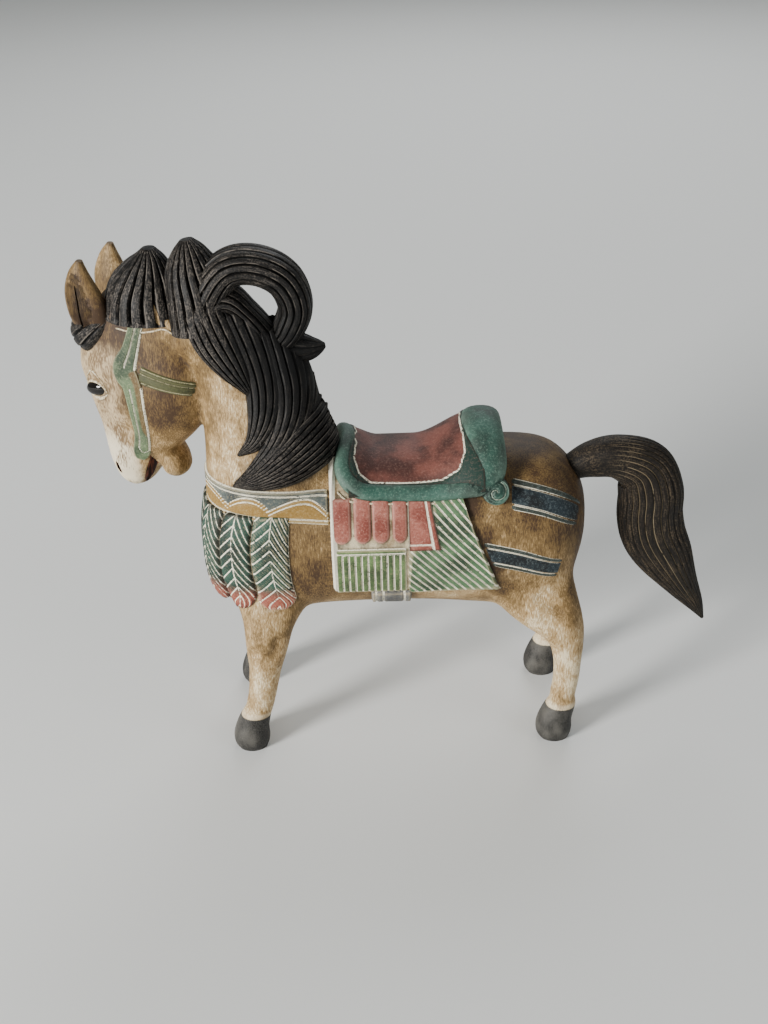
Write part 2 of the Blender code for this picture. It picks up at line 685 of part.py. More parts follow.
def material(name, colour, roughness):
    paint = bpy.data.materials.new(name)
    paint.use_nodes = True
    shader = paint.node_tree.nodes["Principled BSDF"]
    shader.inputs["Base Color"].default_value = colour
    shader.inputs["Roughness"].default_value = roughness
    return paint


def body_masses():
    """The fused body, neck, head and legs, before anything is laid on them."""
    broad = [barrel(40, 40), sweep("neck", NECK, 24, 32, 2.2)]
    for stations in (FRONT_LEG, HIND_LEG):
        for side in (1, -1):
            broad.append(sweep("leg", sided(stations, side), 24, 24, 2.2))
    parts = [fused("body", broad, BROAD_VOXEL, 14)]
    parts.append(sweep("skull", turned(SKULL), 30, 28, 2.3, HEAD_LEFT))
    parts.append(sweep("jaw", turned(JAW), 16, 24, 2.2, HEAD_LEFT))
    for toe_x in HOOF_TOES:
        for side in (1, -1):
            stations = [(toe_x + row[0], -side * HALF_STANCE) + row[2:] for row in HOOF]
            parts.append(sweep("hoof", stations, 16, 24, 2.1))
    return fused("horse", parts, FINE_VOXEL, 3)


def flatten_soles(item):
    """Bring the rounded soles down to one level plane."""
    worn = 0.12
    bm = bmesh.new()
    bm.from_mesh(item.data)
    low = SOLE_LINE + worn
    geometry = bm.verts[:] + bm.edges[:] + bm.faces[:]
    bmesh.ops.bisect_plane(bm, geom=geometry, plane_co=(0, 0, low), plane_no=(0, 0, -1),
                           clear_outer=True)
    bmesh.ops.holes_fill(bm, edges=[edge for edge in bm.edges if edge.is_boundary])
    for vert in bm.verts:
        if vert.co.z < low + 0.001:
            vert.co.z = SOLE_LINE
    bmesh.ops.recalc_face_normals(bm, faces=bm.faces)
    bm.to_mesh(item.data)
    bm.free()


def main():
    for item in list(bpy.data.objects):
        bpy.data.objects.remove(item, do_unlink=True)
    parts = bpy.data.collections.new("carousel_horse")
    tools = bpy.data.collections.new("joined_and_cut")
    bpy.context.scene.collection.children.link(parts)
    bpy.context.scene.collection.children.link(tools)

    horse = body_masses()
    skin = Skin(horse)
    rump = horse.copy()
    rump.data = horse.data.copy()
    bpy.context.scene.collection.objects.link(rump)
    swell = rump.modifiers.new("Joint", "DISPLACE")
    swell.mid_level = 0.0
    swell.strength = TAIL_GAP / SQUARE
    applied(rump)

    thinned(horse, BODY_FACETS)

    ears = [sweep("ear", turned(EAR, side), 8, 10, 2.0, HEAD_LEFT) for side in (1, -1)]
    added = ears + [cloth(skin), collar(skin)] + saddle(skin) + feathers(skin)
    added += head_trappings(skin) + hair(skin) + girth(skin)
    cut(horse, added, "UNION", tools)
    cut(horse, openings(skin), "DIFFERENCE", tools)
    remeshed(horse, CARVED_VOXEL)
    thinned(horse, HORSE_FACETS)
    flatten_soles(horse)
    tail = sweep("tail", TAIL, 26, 4 * TAIL_STRANDS, 2.2, strands=TAIL_STRANDS)
    cut(tail, [rump], "DIFFERENCE", tools)

    corners = [vert.co for item in (horse, tail) for vert in item.data.vertices]
    low = [min(corner[axis] for corner in corners) for axis in range(3)]
    high = [max(corner[axis] for corner in corners) for axis in range(3)]
    shift = Matrix.Translation((-(low[0] + high[0]) / 2, -(low[1] + high[1]) / 2, -low[2]))
    for item, name, colour in ((horse, "horse", COAT_PAINT), (tail, "tail", TAIL_PAINT)):
        item.name = name
        item.data.transform(Matrix.Scale(SQUARE, 4) @ shift)
        item.data.materials.clear()
        item.data.materials.append(material(name + "_paint", colour, 0.6))
        bpy.context.scene.collection.objects.unlink(item)
        parts.objects.link(item)
    bpy.data.collections.remove(tools)


main()
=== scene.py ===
import math

import bmesh
import bpy
import numpy as np
from mathutils import Matrix, Vector
from mathutils.bvhtree import BVHTree


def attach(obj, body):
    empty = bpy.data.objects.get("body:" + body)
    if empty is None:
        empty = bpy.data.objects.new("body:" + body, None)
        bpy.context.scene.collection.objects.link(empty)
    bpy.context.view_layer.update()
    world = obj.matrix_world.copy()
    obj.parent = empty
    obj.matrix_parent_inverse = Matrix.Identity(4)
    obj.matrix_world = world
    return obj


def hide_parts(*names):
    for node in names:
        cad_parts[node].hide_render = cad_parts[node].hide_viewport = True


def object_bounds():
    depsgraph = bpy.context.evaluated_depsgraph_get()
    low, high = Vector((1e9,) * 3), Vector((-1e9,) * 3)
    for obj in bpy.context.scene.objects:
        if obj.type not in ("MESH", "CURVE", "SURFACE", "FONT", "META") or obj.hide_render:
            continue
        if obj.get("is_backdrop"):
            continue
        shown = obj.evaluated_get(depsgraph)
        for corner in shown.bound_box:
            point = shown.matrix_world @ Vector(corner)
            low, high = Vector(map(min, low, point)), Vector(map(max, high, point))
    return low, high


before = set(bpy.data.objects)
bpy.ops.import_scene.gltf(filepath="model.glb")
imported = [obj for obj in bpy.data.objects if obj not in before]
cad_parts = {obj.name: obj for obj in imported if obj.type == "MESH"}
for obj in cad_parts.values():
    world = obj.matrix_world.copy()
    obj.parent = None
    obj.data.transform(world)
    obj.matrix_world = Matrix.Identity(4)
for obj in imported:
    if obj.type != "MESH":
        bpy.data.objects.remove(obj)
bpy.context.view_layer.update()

# Camera, lights and floor
# A hand-held view from above the table, a little ahead of the horse's middle. One broad soft
# light stands low on the left, with weak ones on the right and behind, over a pale floor.
CAMERA_PLACE = (-0.0197, -0.9706, 0.766)
CAMERA_DOWN = math.radians(29.9)
CAMERA_ASIDE = math.radians(0.26)
CAMERA_ROLL = math.radians(-1.70)

ahead = Vector((math.sin(CAMERA_ASIDE) * math.cos(CAMERA_DOWN),
                math.cos(CAMERA_ASIDE) * math.cos(CAMERA_DOWN), -math.sin(CAMERA_DOWN)))
level = Vector((math.cos(CAMERA_ASIDE), -math.sin(CAMERA_ASIDE), 0.0))
over = level.cross(ahead)
rightward = math.cos(CAMERA_ROLL) * level + math.sin(CAMERA_ROLL) * over
upward = math.cos(CAMERA_ROLL) * over - math.sin(CAMERA_ROLL) * level
lens = bpy.data.cameras.new("table_view")
lens.lens = 45.7
lens.sensor_width = 36.0
camera = bpy.data.objects.new("table_view", lens)
camera.matrix_world = (Matrix.Translation(CAMERA_PLACE)
                       @ Matrix((rightward, upward, -ahead)).transposed().to_4x4())
bpy.context.scene.collection.objects.link(camera)
bpy.context.scene.camera = camera

for name, place, size, power, warmth in (
        ("window_light", (-2.9, -2.3, 1.35), 1.1, 250.0, (1.0, 0.985, 0.96)),
        ("right_light", (3.0, -2.0, 1.8), 2.0, 22.0, (0.97, 0.985, 1.0)),
        ("back_light", (0.6, 3.0, 2.6), 2.6, 60.0, (0.97, 0.985, 1.0))):
    light = bpy.data.lights.new(name, "AREA")
    light.shape = "DISK"
    light.size = size
    light.energy = power
    light.color = warmth
    lamp = bpy.data.objects.new(name, light)
    aim = Vector((0.0, 0.0, 0.22)) - Vector(place)
    turn = aim.to_track_quat("-Z", "Y").to_matrix().to_4x4()
    lamp.matrix_world = Matrix.Translation(place) @ turn
    bpy.context.scene.collection.objects.link(lamp)

world = bpy.data.worlds.new("pale_room")
world.use_nodes = True
world.node_tree.nodes["Background"].inputs["Color"].default_value = (0.93, 0.96, 0.95, 1.0)
world.node_tree.nodes["Background"].inputs["Strength"].default_value = 0.3
bpy.context.scene.world = world

bm = bmesh.new()
bmesh.ops.create_grid(bm, x_segments=1, y_segments=1, size=6.0)
floor_mesh = bpy.data.meshes.new("floor")
bm.to_mesh(floor_mesh)
bm.free()
floor = bpy.data.objects.new("floor", floor_mesh)
floor_paint = bpy.data.materials.new("pale_floor")
floor_paint.use_nodes = True
floor_shader = floor_paint.node_tree.nodes["Principled BSDF"]
floor_shader.inputs["Base Color"].default_value = (0.78, 0.79, 0.775, 1.0)
floor_shader.inputs["Roughness"].default_value = 0.8
floor_mesh.materials.append(floor_paint)
bpy.context.scene.collection.objects.link(floor)
floor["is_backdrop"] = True

# Body, neck, head and legs
# One block of pale wood carved in the round, primed cream, painted tan and rubbed back to the
# wood. The carver's pattern is squared: one square is a centimetre, x runs from the head to the
# tail, y from left to right and z up, with half a square below the soles.
SQUARE = 0.01
SOLE_LINE = 0.5
HALF_BODY = 6.0
HALF_STANCE = 4.9
BARREL = [
    (-16.5, 0, 19.6, 1.6, 0.20 * HALF_BODY), (-15.9, 0, 19.7, 4.4, 0.55 * HALF_BODY),
    (-14.0, 0, 20.0, 6.3, 0.84 * HALF_BODY), (-10.5, 0, 20.4, 7.1, 0.96 * HALF_BODY),
    (-5.0, 0, 20.7, 7.0, 0.99 * HALF_BODY), (2.0, 0, 20.7, 7.0, HALF_BODY),
    (8.0, 0, 20.5, 7.4, HALF_BODY), (12.3, 0, 20.3, 7.2, 0.97 * HALF_BODY),
    (14.6, 0, 20.6, 5.3, 0.76 * HALF_BODY), (15.9, 0, 21.2, 2.3, 0.36 * HALF_BODY),
]
NECK = [
    (-8.8, 0, 21.0, 7.0, 0.92 * HALF_BODY), (-10.2, 0, 26.0, 5.9, 0.84 * HALF_BODY),
    (-11.0, 0, 30.5, 4.9, 0.66 * HALF_BODY), (-11.7, 0, 34.5, 4.5, 0.54 * HALF_BODY),
    (-13.6, 0, 37.8, 3.7, 0.48 * HALF_BODY), (-16.4, 0, 39.6, 2.6, 0.42 * HALF_BODY),
]
FRONT_LEG = [
    (-10.9, -0.62 * HALF_STANCE, 18.5, 3.6, 1.7), (-11.1, -0.76 * HALF_STANCE, 15.2, 3.1, 1.9),
    (-11.4, -0.86 * HALF_STANCE, 13.2, 2.3, 1.75), (-11.7, -0.92 * HALF_STANCE, 10.8, 1.9, 1.6),
    (-12.0, -0.95 * HALF_STANCE, 8.6, 1.5, 1.35), (-12.3, -0.98 * HALF_STANCE, 6.6, 1.35, 1.25),
    (-12.7, -HALF_STANCE, 4.9, 1.3, 1.25), (-13.0, -HALF_STANCE, 3.9, 1.3, 1.25),
]
HIND_LEG = [
    (10.3, -0.58 * HALF_STANCE, 19.5, 4.2, 1.7), (11.4, -0.70 * HALF_STANCE, 16.0, 3.7, 1.9),
    (12.7, -0.80 * HALF_STANCE, 13.9, 3.0, 1.8), (14.0, -0.88 * HALF_STANCE, 11.9, 2.05, 1.65),
    (14.5, -0.93 * HALF_STANCE, 9.8, 1.45, 1.35), (14.5, -0.97 * HALF_STANCE, 6.9, 1.25, 1.2),
    (14.2, -HALF_STANCE, 4.9, 1.2, 1.2), (14.1, -HALF_STANCE, 3.9, 1.3, 1.25),
]
HOOF_TOES = (-13.6, 13.6)
HOOF = [
    (0.0, 0, SOLE_LINE, 1.2, 1.1), (0.0, 0, 0.75, 1.5, 1.4), (-0.05, 0, 1.6, 1.65, 1.55),
    (0.15, 0, 2.8, 1.45, 1.4), (0.6, 0, 4.0, 1.25, 1.25), (0.75, 0, 4.7, 1.1, 1.1),
]
# The head's own plane turns away about an upright line; its rows give forward of the line,
# left of the plane, z, half depth and half width
HEAD_PIVOT_X = -15.0
HEAD_TURN = math.radians(22)
SKULL = [
    (2.4, 0, 40.4, 3.0, 2.3), (4.4, 0, 38.2, 5.2, 2.8), (5.4, 0, 35.4, 6.0, 3.15),
    (5.7, 0, 33.2, 5.8, 3.2), (6.2, 0, 31.3, 5.1, 2.95), (6.8, 0, 29.4, 4.0, 2.55),
    (7.4, 0, 27.6, 2.8, 2.25), (7.5, 0, 26.0, 2.25, 2.2), (7.4, 0, 24.8, 1.7, 1.95),
    (7.2, 0, 24.0, 0.9, 1.3),
]
JAW = [
    (4.7, 0, 32.2, 2.6, 2.3), (4.8, 0, 29.6, 1.6, 2.05), (4.5, 0, 27.8, 1.0, 1.7),
    (4.0, 0, 26.6, 1.15, 1.6), (3.8, 0, 25.6, 1.05, 1.4), (3.8, 0, 25.1, 0.5, 0.8),
]
FAR = 9.0  # squares: well clear of any rim or painted line
UNLINED = 0.5  # midway between two painted lines
UNCARVED = (UNLINED, FAR, 1.0, 0.0)
SOLE_PLANED = 0.12


def smooth_rows(stations, count):
    """Read count evenly spaced rows from a smooth curve through the stations."""
    table = np.array(stations, dtype=float)
    last = len(table) - 1
    rows = []
    for step in np.linspace(0, last, count):
        i = min(int(step), last - 1)
        u = step - i
        here, there = table[i], table[i + 1]
        before = table[i - 1] if i else 2 * here - there
        after = table[i + 2] if i + 2 <= last else 2 * there - here
        rows.append(0.5 * (2 * here + (there - before) * u
                           + (2 * before - 5 * here + 4 * there - after) * u ** 2
                           + (3 * here - before - 3 * there + after) * u ** 3))
    return np.array(rows)


def ease(low, high, value):
    """Rise smoothly from 0 at low to 1 at high."""
    share = min(max((value - low) / (high - low), 0.0), 1.0)
    return share * share * (3 - 2 * share)


def as_object(name, bm, finish=None):
    mesh = bpy.data.meshes.new(name)
    bmesh.ops.recalc_face_normals(bm, faces=bm.faces)
    bm.to_mesh(mesh)
    bm.free()
    if finish:
        mesh.materials.append(finish)
    item = bpy.data.objects.new(name, mesh)
    bpy.context.scene.collection.objects.link(item)
    return item


def mark(bm, marks, spiral=False):
    """Keep two maps on the skin: where painted lines run, and how the carving rises.

    Plan holds the count of lines passed and the squares to the nearest rim. Form holds the
    height, from 0 in a cut to 1 on a ridge, and the share of the way along. Round a spiral
    the count runs on across its seam.
    """
    plan = bm.loops.layers.uv.new("Plan")
    form = bm.loops.layers.uv.new("Form")
    for face in bm.faces:
        rows = [marks.get(loop.vert, UNCARVED) for loop in face.loops]
        seam = max(row[0] for row in rows) - 0.5 if spiral else -math.inf
        for loop, row in zip(face.loops, rows):
            loop[plan].uv = (row[0] + (row[0] < seam), row[1])
            loop[form].uv = row[2:]


def ridge(place):
    """Height across a row of strands: broad and slightly crowned, with a V cut between."""
    away = abs(place - round(place))
    return 0.78 * min(1.0, away / 0.14) + 0.22 * math.sin(math.pi * away)


def drum(rings, sides, capped=True):
    """An upright drum of rings one apart, and which ring each of its points is on."""
    bm = bmesh.new()
    bmesh.ops.create_cone(bm, cap_ends=capped, segments=sides, radius1=1, radius2=1,
                          depth=rings - 1)
    uprights = [edge for edge in bm.edges if abs(edge.verts[0].co.z - edge.verts[1].co.z) > 0.5]
    bmesh.ops.subdivide_edges(bm, edges=uprights, cuts=rings - 2)
    return bm, {vert: round(vert.co.z + (rings - 1) / 2) for vert in bm.verts}


def swept(name, stations, rings, sides, width_way=(0, 1, 0), power=2.0, strands=0, depth=0.16,
          depth_way=None, finish=None, plain=0.0):
    """A drum whose rings are moved onto the path, with strands cut along it past its plain part."""
    rows = smooth_rows(stations, rings)
    ways = np.gradient(rows[:, :3], axis=0)
    width_way = np.array(width_way, dtype=float)
    bm, levels = drum(rings, sides)
    marks = {}
    for vert, ring in levels.items():
        row = rows[ring]
        down_way = np.array(depth_way) if depth_way else np.cross(ways[ring], width_way)
        down_way = down_way / np.linalg.norm(down_way)
        across, down = vert.co.x, vert.co.y
        turn = math.atan2(down, abs(across)) / math.pi + 0.5
        share = ring / (rings - 1)
        cut = ease(0.6 * plain, plain + 0.001, share)
        height = 1 - cut * (1 - ridge(turn * strands)) if strands else 1.0
        marks[vert] = (turn * strands, FAR, height, share)
        shrink = 1 - depth * (1 - height)
        across = math.copysign(abs(across) ** (2 / power), across) * max(row[4], 0.05) * shrink
        down = math.copysign(abs(down) ** (2 / power), down) * max(row[3], 0.05) * shrink
        vert.co = Vector(row[:3] + across * width_way + down * down_way)
    mark(bm, marks)
    return as_object(name, bm, finish)


HEAD_WAY = np.array((-math.cos(HEAD_TURN), math.sin(HEAD_TURN), 0.0))
HEAD_LEFT = np.array((-math.sin(HEAD_TURN), -math.cos(HEAD_TURN), 0.0))


def on_head(forward, left, z):
    return np.array((HEAD_PIVOT_X, 0.0, z)) + forward * HEAD_WAY + left * HEAD_LEFT


def turned(stations, side=1):
    return [tuple(on_head(row[0], side * row[1], row[2])) + tuple(row[3:]) for row in stations]


def applied(item):
    graph = bpy.context.evaluated_depsgraph_get()
    baked = bpy.data.meshes.new_from_object(item.evaluated_get(graph))
    item.modifiers.clear()
    item.data = baked


def fused(name, items, voxel, rounds):
    """Fuse overlapping masses into one skin, and rub its inner corners round."""
    bm = bmesh.new()
    for item in items:
        bm.from_mesh(item.data)
        bpy.data.objects.remove(item, do_unlink=True)
    item = as_object(name, bm)
    remesh = item.modifiers.new("Skin", "REMESH")
    remesh.mode = "VOXEL"
    remesh.voxel_size = voxel
    applied(item)
    bm = bmesh.new()
    bm.from_mesh(item.data)
    for _ in range(rounds):
        bmesh.ops.smooth_vert(bm, verts=bm.verts, factor=0.5,
                              use_axis_x=True, use_axis_y=True, use_axis_z=True)
    bm.to_mesh(item.data)
    bm.free()
    return item


masses = [swept("barrel", BARREL, 40, 40, power=2.4, depth_way=(0, 0, 1)),
          swept("neck", NECK, 24, 32, power=2.2)]
for stations in (FRONT_LEG, HIND_LEG):
    for side in (1, -1):
        masses.append(swept("leg", [(row[0], side * row[1]) + row[2:] for row in stations],
                            24, 24, power=2.2))
masses = [fused("body", masses, 0.3, 14)]
masses.append(swept("skull", turned(SKULL), 30, 32, HEAD_LEFT, 2.3))
masses.append(swept("jaw", turned(JAW), 16, 24, HEAD_LEFT, 2.2))
for toe_x in HOOF_TOES:
    for side in (1, -1):
        masses.append(swept("hoof", [(toe_x + row[0], -side * HALF_STANCE) + row[2:]
                                     for row in HOOF], 16, 24, power=2.1))
horse = fused("carved_horse", masses, 0.2, 3)

# Touches of the gouge, alike on both sides: place, reach across, and how far the wood swells or
# is cut away. Those on the head are placed by forward, left and z.
HEAD_TOUCHES = [
    (8.7, 3.0, 33.4, 1.7, -0.28),  # eye socket
    (8.3, 2.9, 35.3, 1.5, 0.16),  # brow
    (2.8, 2.7, 33.6, 3.4, 0.22),  # cheek
    (6.6, 2.9, 29.6, 1.8, -0.20),  # below the cheekbone
    (7.9, 2.1, 26.2, 1.2, 0.22),  # nostril's wing
]
LEG_TOUCHES = [
    (-11.8, -5.9, 12.0, 1.3, 0.18),  # knee
    (-12.6, -5.7, 10.9, 0.95, -0.30), (-10.7, -5.6, 12.1, 0.9, -0.25),
    (-11.1, -5.7, 10.9, 0.9, -0.28), (-12.2, -5.9, 8.9, 0.9, 0.14),
    (11.9, -5.2, 15.4, 0.9, -0.30),  # groove above the hock
    (12.7, -5.4, 14.8, 0.9, -0.32), (13.4, -5.5, 14.3, 0.9, -0.32),
    (11.5, -5.2, 13.8, 0.9, 0.18), (14.4, -5.8, 12.8, 1.2, 0.18),
]
touches = []
for side in (1, -1):
    touches += [(on_head(row[0], side * row[1], row[2]),) + row[3:] for row in HEAD_TOUCHES]
    touches += [((row[0], side * row[1], row[2]),) + row[3:] for row in LEG_TOUCHES]
bm = bmesh.new()
bm.from_mesh(horse.data)
bm.normal_update()
for place, reach, swell in touches:
    place = Vector(place)
    for vert in bm.verts:
        away = (vert.co - place).length / reach
        if away < 1:
            vert.co += vert.normal * swell * (1 - away ** 2) ** 2
# the soles are planed level
level = SOLE_LINE + SOLE_PLANED
bmesh.ops.bisect_plane(bm, geom=bm.verts[:] + bm.edges[:] + bm.faces[:],
                       plane_co=(0, 0, level), plane_no=(0, 0, -1), clear_outer=True)
bmesh.ops.holes_fill(bm, edges=[edge for edge in bm.edges if edge.is_boundary])
for vert in bm.verts:
    if vert.co.z < level + 0.001:
        vert.co.z = SOLE_LINE
bmesh.ops.recalc_face_normals(bm, faces=bm.faces)
bm.to_mesh(horse.data)
wood = BVHTree.FromBMesh(bm)
bm.free()


def linear(code):
    """A colour written as on a paint chart, in the shader's own numbers."""
    parts = [int(code[i:i + 2], 16) / 255 for i in (0, 2, 4)]
    return tuple(p / 12.92 if p < 0.04045 else ((p + 0.055) / 1.055) ** 2.4 for p in parts) + (1,)


class Level:
    """A number worked out at each place on the skin. It adds and multiplies like any other."""

    def __init__(self, finish, socket):
        self.finish = finish
        self.socket = socket

    def __add__(self, other):
        return self.finish.sums("ADD", self, other)

    def __sub__(self, other):
        return self.finish.sums("SUBTRACT", self, other)

    def __mul__(self, other):
        return self.finish.sums("MULTIPLY", self, other)


class Finish:
    """One finish, whose nodes are added one at a time."""

    def __init__(self, name, roughness=0.62):
        self.material = bpy.data.materials.new(name)
        self.material.use_nodes = True
        self.tree = self.material.node_tree
        self.shader = self.tree.nodes["Principled BSDF"]
        self.shader.inputs["Roughness"].default_value = roughness
        self.shader.inputs["Specular IOR Level"].default_value = 0.35
        self.place = self.node("TexCoord").outputs["Object"]

    def put(self, socket, value):
        if isinstance(value, Level):
            value = value.socket
        if isinstance(value, bpy.types.NodeSocket):
            self.tree.links.new(value, socket)
        else:
            socket.default_value = value

    def node(self, kind, *values):
        """A new node, whose first sockets take the values in turn."""
        node = self.tree.nodes.new("ShaderNode" + kind)
        for socket, value in zip(node.inputs, values):
            self.put(socket, value)
        return node

    def sums(self, operation, *values):
        node = self.node("Math", *values)
        node.operation = operation
        return Level(self, node.outputs[0])

    def noise(self, scale, detail=2.0, stretch=(1, 1, 1), here=None):
        """Cloudy values about 0.5; scale is in patches to the metre."""
        place = here or self.place
        if stretch != (1, 1, 1):
            turn = self.node("Mapping", place)
            turn.inputs["Scale"].default_value = stretch
            place = turn.outputs["Vector"]
        node = self.node("TexNoise", place)
        node.inputs["Scale"].default_value = scale
        node.inputs["Detail"].default_value = detail
        return Level(self, node.outputs["Fac"])

    def between(self, value, low, high, start=0.0, end=1.0):
        """start where the value is below low, end where it is above high."""
        node = self.node("MapRange", value, low, high, start, end)
        node.interpolation_type = "SMOOTHSTEP"
        return Level(self, node.outputs[0])

    def mix(self, share, first, second):
        node = self.node("Mix", share)
        node.data_type = "RGBA"
        self.put(node.inputs[6], linear(first) if isinstance(first, str) else first)
        self.put(node.inputs[7], linear(second) if isinstance(second, str) else second)
        return node.outputs[2]

    def split(self, vector):
        return [Level(self, part) for part in self.node("SeparateXYZ", vector).outputs]

    def map(self, name):
        """The two numbers that a map keeps on the skin."""
        uv = self.node("UVMap")
        uv.uv_map = name
        return self.split(uv.outputs[0])[:2]

    def near(self, place, reach, here=None):
        """1 at a place in metres, fading to 0 at the reach."""
        node = self.node("VectorMath", here or self.place, place)
        node.operation = "DISTANCE"
        return self.between(node.outputs["Value"], 0.25 * reach, reach, 1.0, 0.0)

    def edges(self, low, high, start=0.0, end=1.0):
        """By how sharply the carving stands out: 0.5 is flat, more is an edge, less a hollow."""
        pointed = self.node("NewGeometry").outputs["Pointiness"]
        return self.between(pointed, low, high, start, end)

    def done(self, colour, height, bump=0.0003, roughness=None):
        self.put(self.shader.inputs["Base Color"], colour)
        if roughness:
            self.put(self.shader.inputs["Roughness"], roughness)
        node = self.node("Bump")
        node.inputs["Strength"].default_value = 0.7
        node.inputs["Distance"].default_value = bump
        self.put(node.inputs["Height"], height)
        self.put(self.shader.inputs["Normal"], node.outputs["Normal"])
        return self.material


# Places where the coat is rubbed paler (more than 0) or darker, alike on both sides:
# place, reach, how much. Over the top of the rump and just behind the cloth's rear edge the
# darkening is painted shade.
TONES = [
    ((-0.190, 0.02, 0.34), 0.075, -0.41), ((-0.185, 0.02, 0.29), 0.045, -0.2),
    ((-0.245, 0.02, 0.40), 0.045, -0.32), ((-0.236, 0.01, 0.382), 0.035, -0.4),
    # ((0.125, 0.0, 0.29), 0.125, -0.46) is painted shade over the top of the rump
    ((-0.130, 0.0, 0.31), 0.09, 0.15), ((0.125, 0.0, 0.29), 0.125, -0.46),
    ((0.165, 0.03, 0.2), 0.065, -0.32), ((-0.075, 0.06, 0.19), 0.085, -0.26),
    ((0.10, 0.06, 0.22), 0.07, -0.16), ((0.145, 0.055, 0.145), 0.03, -0.26),
    ((-0.11, 0.055, 0.115), 0.025, -0.06), ((-0.125, 0.055, 0.155), 0.035, 0.14),
    # (0.056, 0.050, 0.238) and the three spots after it are a painted shadow of the cloth's rear
    # edge on the coat
    ((0.115, 0.055, 0.13), 0.02, 0.2), ((0.056, 0.050, 0.238), 0.018, -0.5),
    ((0.065, 0.056, 0.213), 0.018, -0.5), ((0.074, 0.057, 0.187), 0.018, -0.5),
    ((0.082, 0.054, 0.163), 0.016, -0.4),
]


def coat_finish():
    """Tan rubbed over pale wood in short strokes, a cream face, and grey-black hooves."""
    coat = Finish("rubbed_tan_coat")
    x, y, z = coat.split(coat.place)
    broad = coat.noise(26, 3.0)
    cloud = coat.noise(90, 4.0, (1.0, 1.0, 0.6))
    stroke = coat.noise(1100, 3.0, (1.0, 1.0, 0.2))
    grain = coat.noise(2600, 2.0, (1.0, 1.0, 0.5))
    folded = coat.node("CombineXYZ", x, coat.sums("ABSOLUTE", y), z).outputs[0]
    tone = broad * 0.7 + cloud * 0.8 - 0.21
    # paler and darker spots; those over the rump top and behind the cloth's rear edge are painted
    # shade
    for place, reach, shift in TONES:
        tone = tone + coat.near(place, reach, folded) * shift
    tone = tone + coat.between(z, 0.09, 0.14, 0.16, 0.0)
    tone = tone + (stroke - 0.5) + (grain - 0.5) * 0.5
    colour = coat.mix(coat.between(tone, -0.02, 0.36), "3c2917", "705833")
    colour = coat.mix(coat.between(tone, 0.34, 0.66), colour, "a98c61")
    colour = coat.mix(coat.between(tone, 0.62, 0.95), colour, "e2d2ae")
    # the face is cream from the brow down to the lips
    forward = y * math.sin(HEAD_TURN) - x * math.cos(HEAD_TURN)
    face = coat.between(forward + cloud * 0.02, 0.212, 0.226)
    face = face * coat.between(z, 0.358, 0.374, 1.0, 0.0)
    dirt = cloud * 0.5 + stroke * 0.5 + coat.between(z, 0.26, 0.30, 0.05, 0.0)
    skin = coat.mix(coat.between(z, 0.27, 0.30), "ddd0b4", "bda783")
    colour = coat.mix(face, colour, coat.mix(coat.between(dirt, 0.40, 0.57), "715a3d", skin))
    # grime in the cuts, and bare wood on the arrises and at the cuffs over the hooves
    colour = coat.mix(coat.edges(0.45, 0.49, 0.5, 0.0), colour, "24180f")
    colour = coat.mix(coat.edges(0.52, 0.57, 0.0, 0.4), colour, "dccdab")
    colour = coat.mix(coat.between(z, 0.0375, 0.041, 0.8, 0.0) * cloud, colour, "efe3c6")
    horn = coat.mix(coat.between(broad * 0.6 + cloud * 0.4, 0.42, 0.62), "0f0e0d", "4e4c47")
    horn = coat.mix(coat.between(grain, 0.45, 0.6, 0.0, 0.3), horn, "77746e")
    hoof = coat.between(z + grain * 0.0015, 0.0350, 0.0360, 1.0, 0.0)
    return coat.done(coat.mix(hoof, colour, horn), stroke * 0.6 + grain * 0.4)


coat_paint = coat_finish()
horse.data.materials.append(coat_paint)
thin = horse.modifiers.new("Thin", "DECIMATE")
thin.ratio = 0.195
applied(horse)
carvings = []
cuts = []

# Ears, eyes, mouth and nostrils
# Cut with small gouges into the head. The ears are leaf-shaped and hollowed, the inside of the
# mouth is red-brown, and each eye is a glossy black almond between pale lids.
EAR = [
    (8.9, 2.0, 38.2, 1.5, 0.8), (9.1, 2.2, 39.8, 1.75, 0.95), (9.4, 2.2, 41.4, 1.6, 0.86),
    (9.4, 2.3, 42.9, 1.0, 0.6), (9.2, 2.3, 44.1, 0.25, 0.3),
]
EAR_HOLLOW = [
    (9.2, 3.1, 38.6, 0.7, 0.6), (9.4, 3.1, 40.2, 1.2, 0.85), (9.6, 3.1, 41.5, 1.05, 0.8),
    (9.5, 3.0, 43.2, 0.35, 0.4),
]
EAR_CRACK = [(9.3, 2.4, 38.9, 0.12, 0.9), (9.35, 2.4, 40.5, 0.16, 0.9), (9.5, 2.4, 42.2, 0.1, 0.8)]
EYE = (9.15, 33.2)
EYE_HALF = 1.25
EYE_SINK = 0.30
EYELIDS = ((0.72, 0.1), (-0.75, 0.14), (1.75, 0.07))  # rise over the eye's middle, thickness
NOSTRIL = (8.35, 25.9)
MOUTH_WEDGE = {90: (5.35, 27.4), -150: (4.6, 22.5), -30: (7.3, 22.5)}  # by the corner's bearing
MOUTH_NOTCH = (4.75, 0.0, 24.3)


def cast(axis, out, reach=30.0):
    """Where a line from outside towards the axis meets the wood."""
    out = np.array(out)
    for aside in (0.0, 0.011, -0.013):
        start = np.array(axis) + reach * out + aside
        place, normal, _, _ = wood.ray_cast(Vector(start), Vector(-out))
        if place:
            return np.array(place), np.array(normal)
    return None


def on_face(forward, z, side):
    return cast(on_head(forward, 0.0, z), side * HEAD_LEFT)


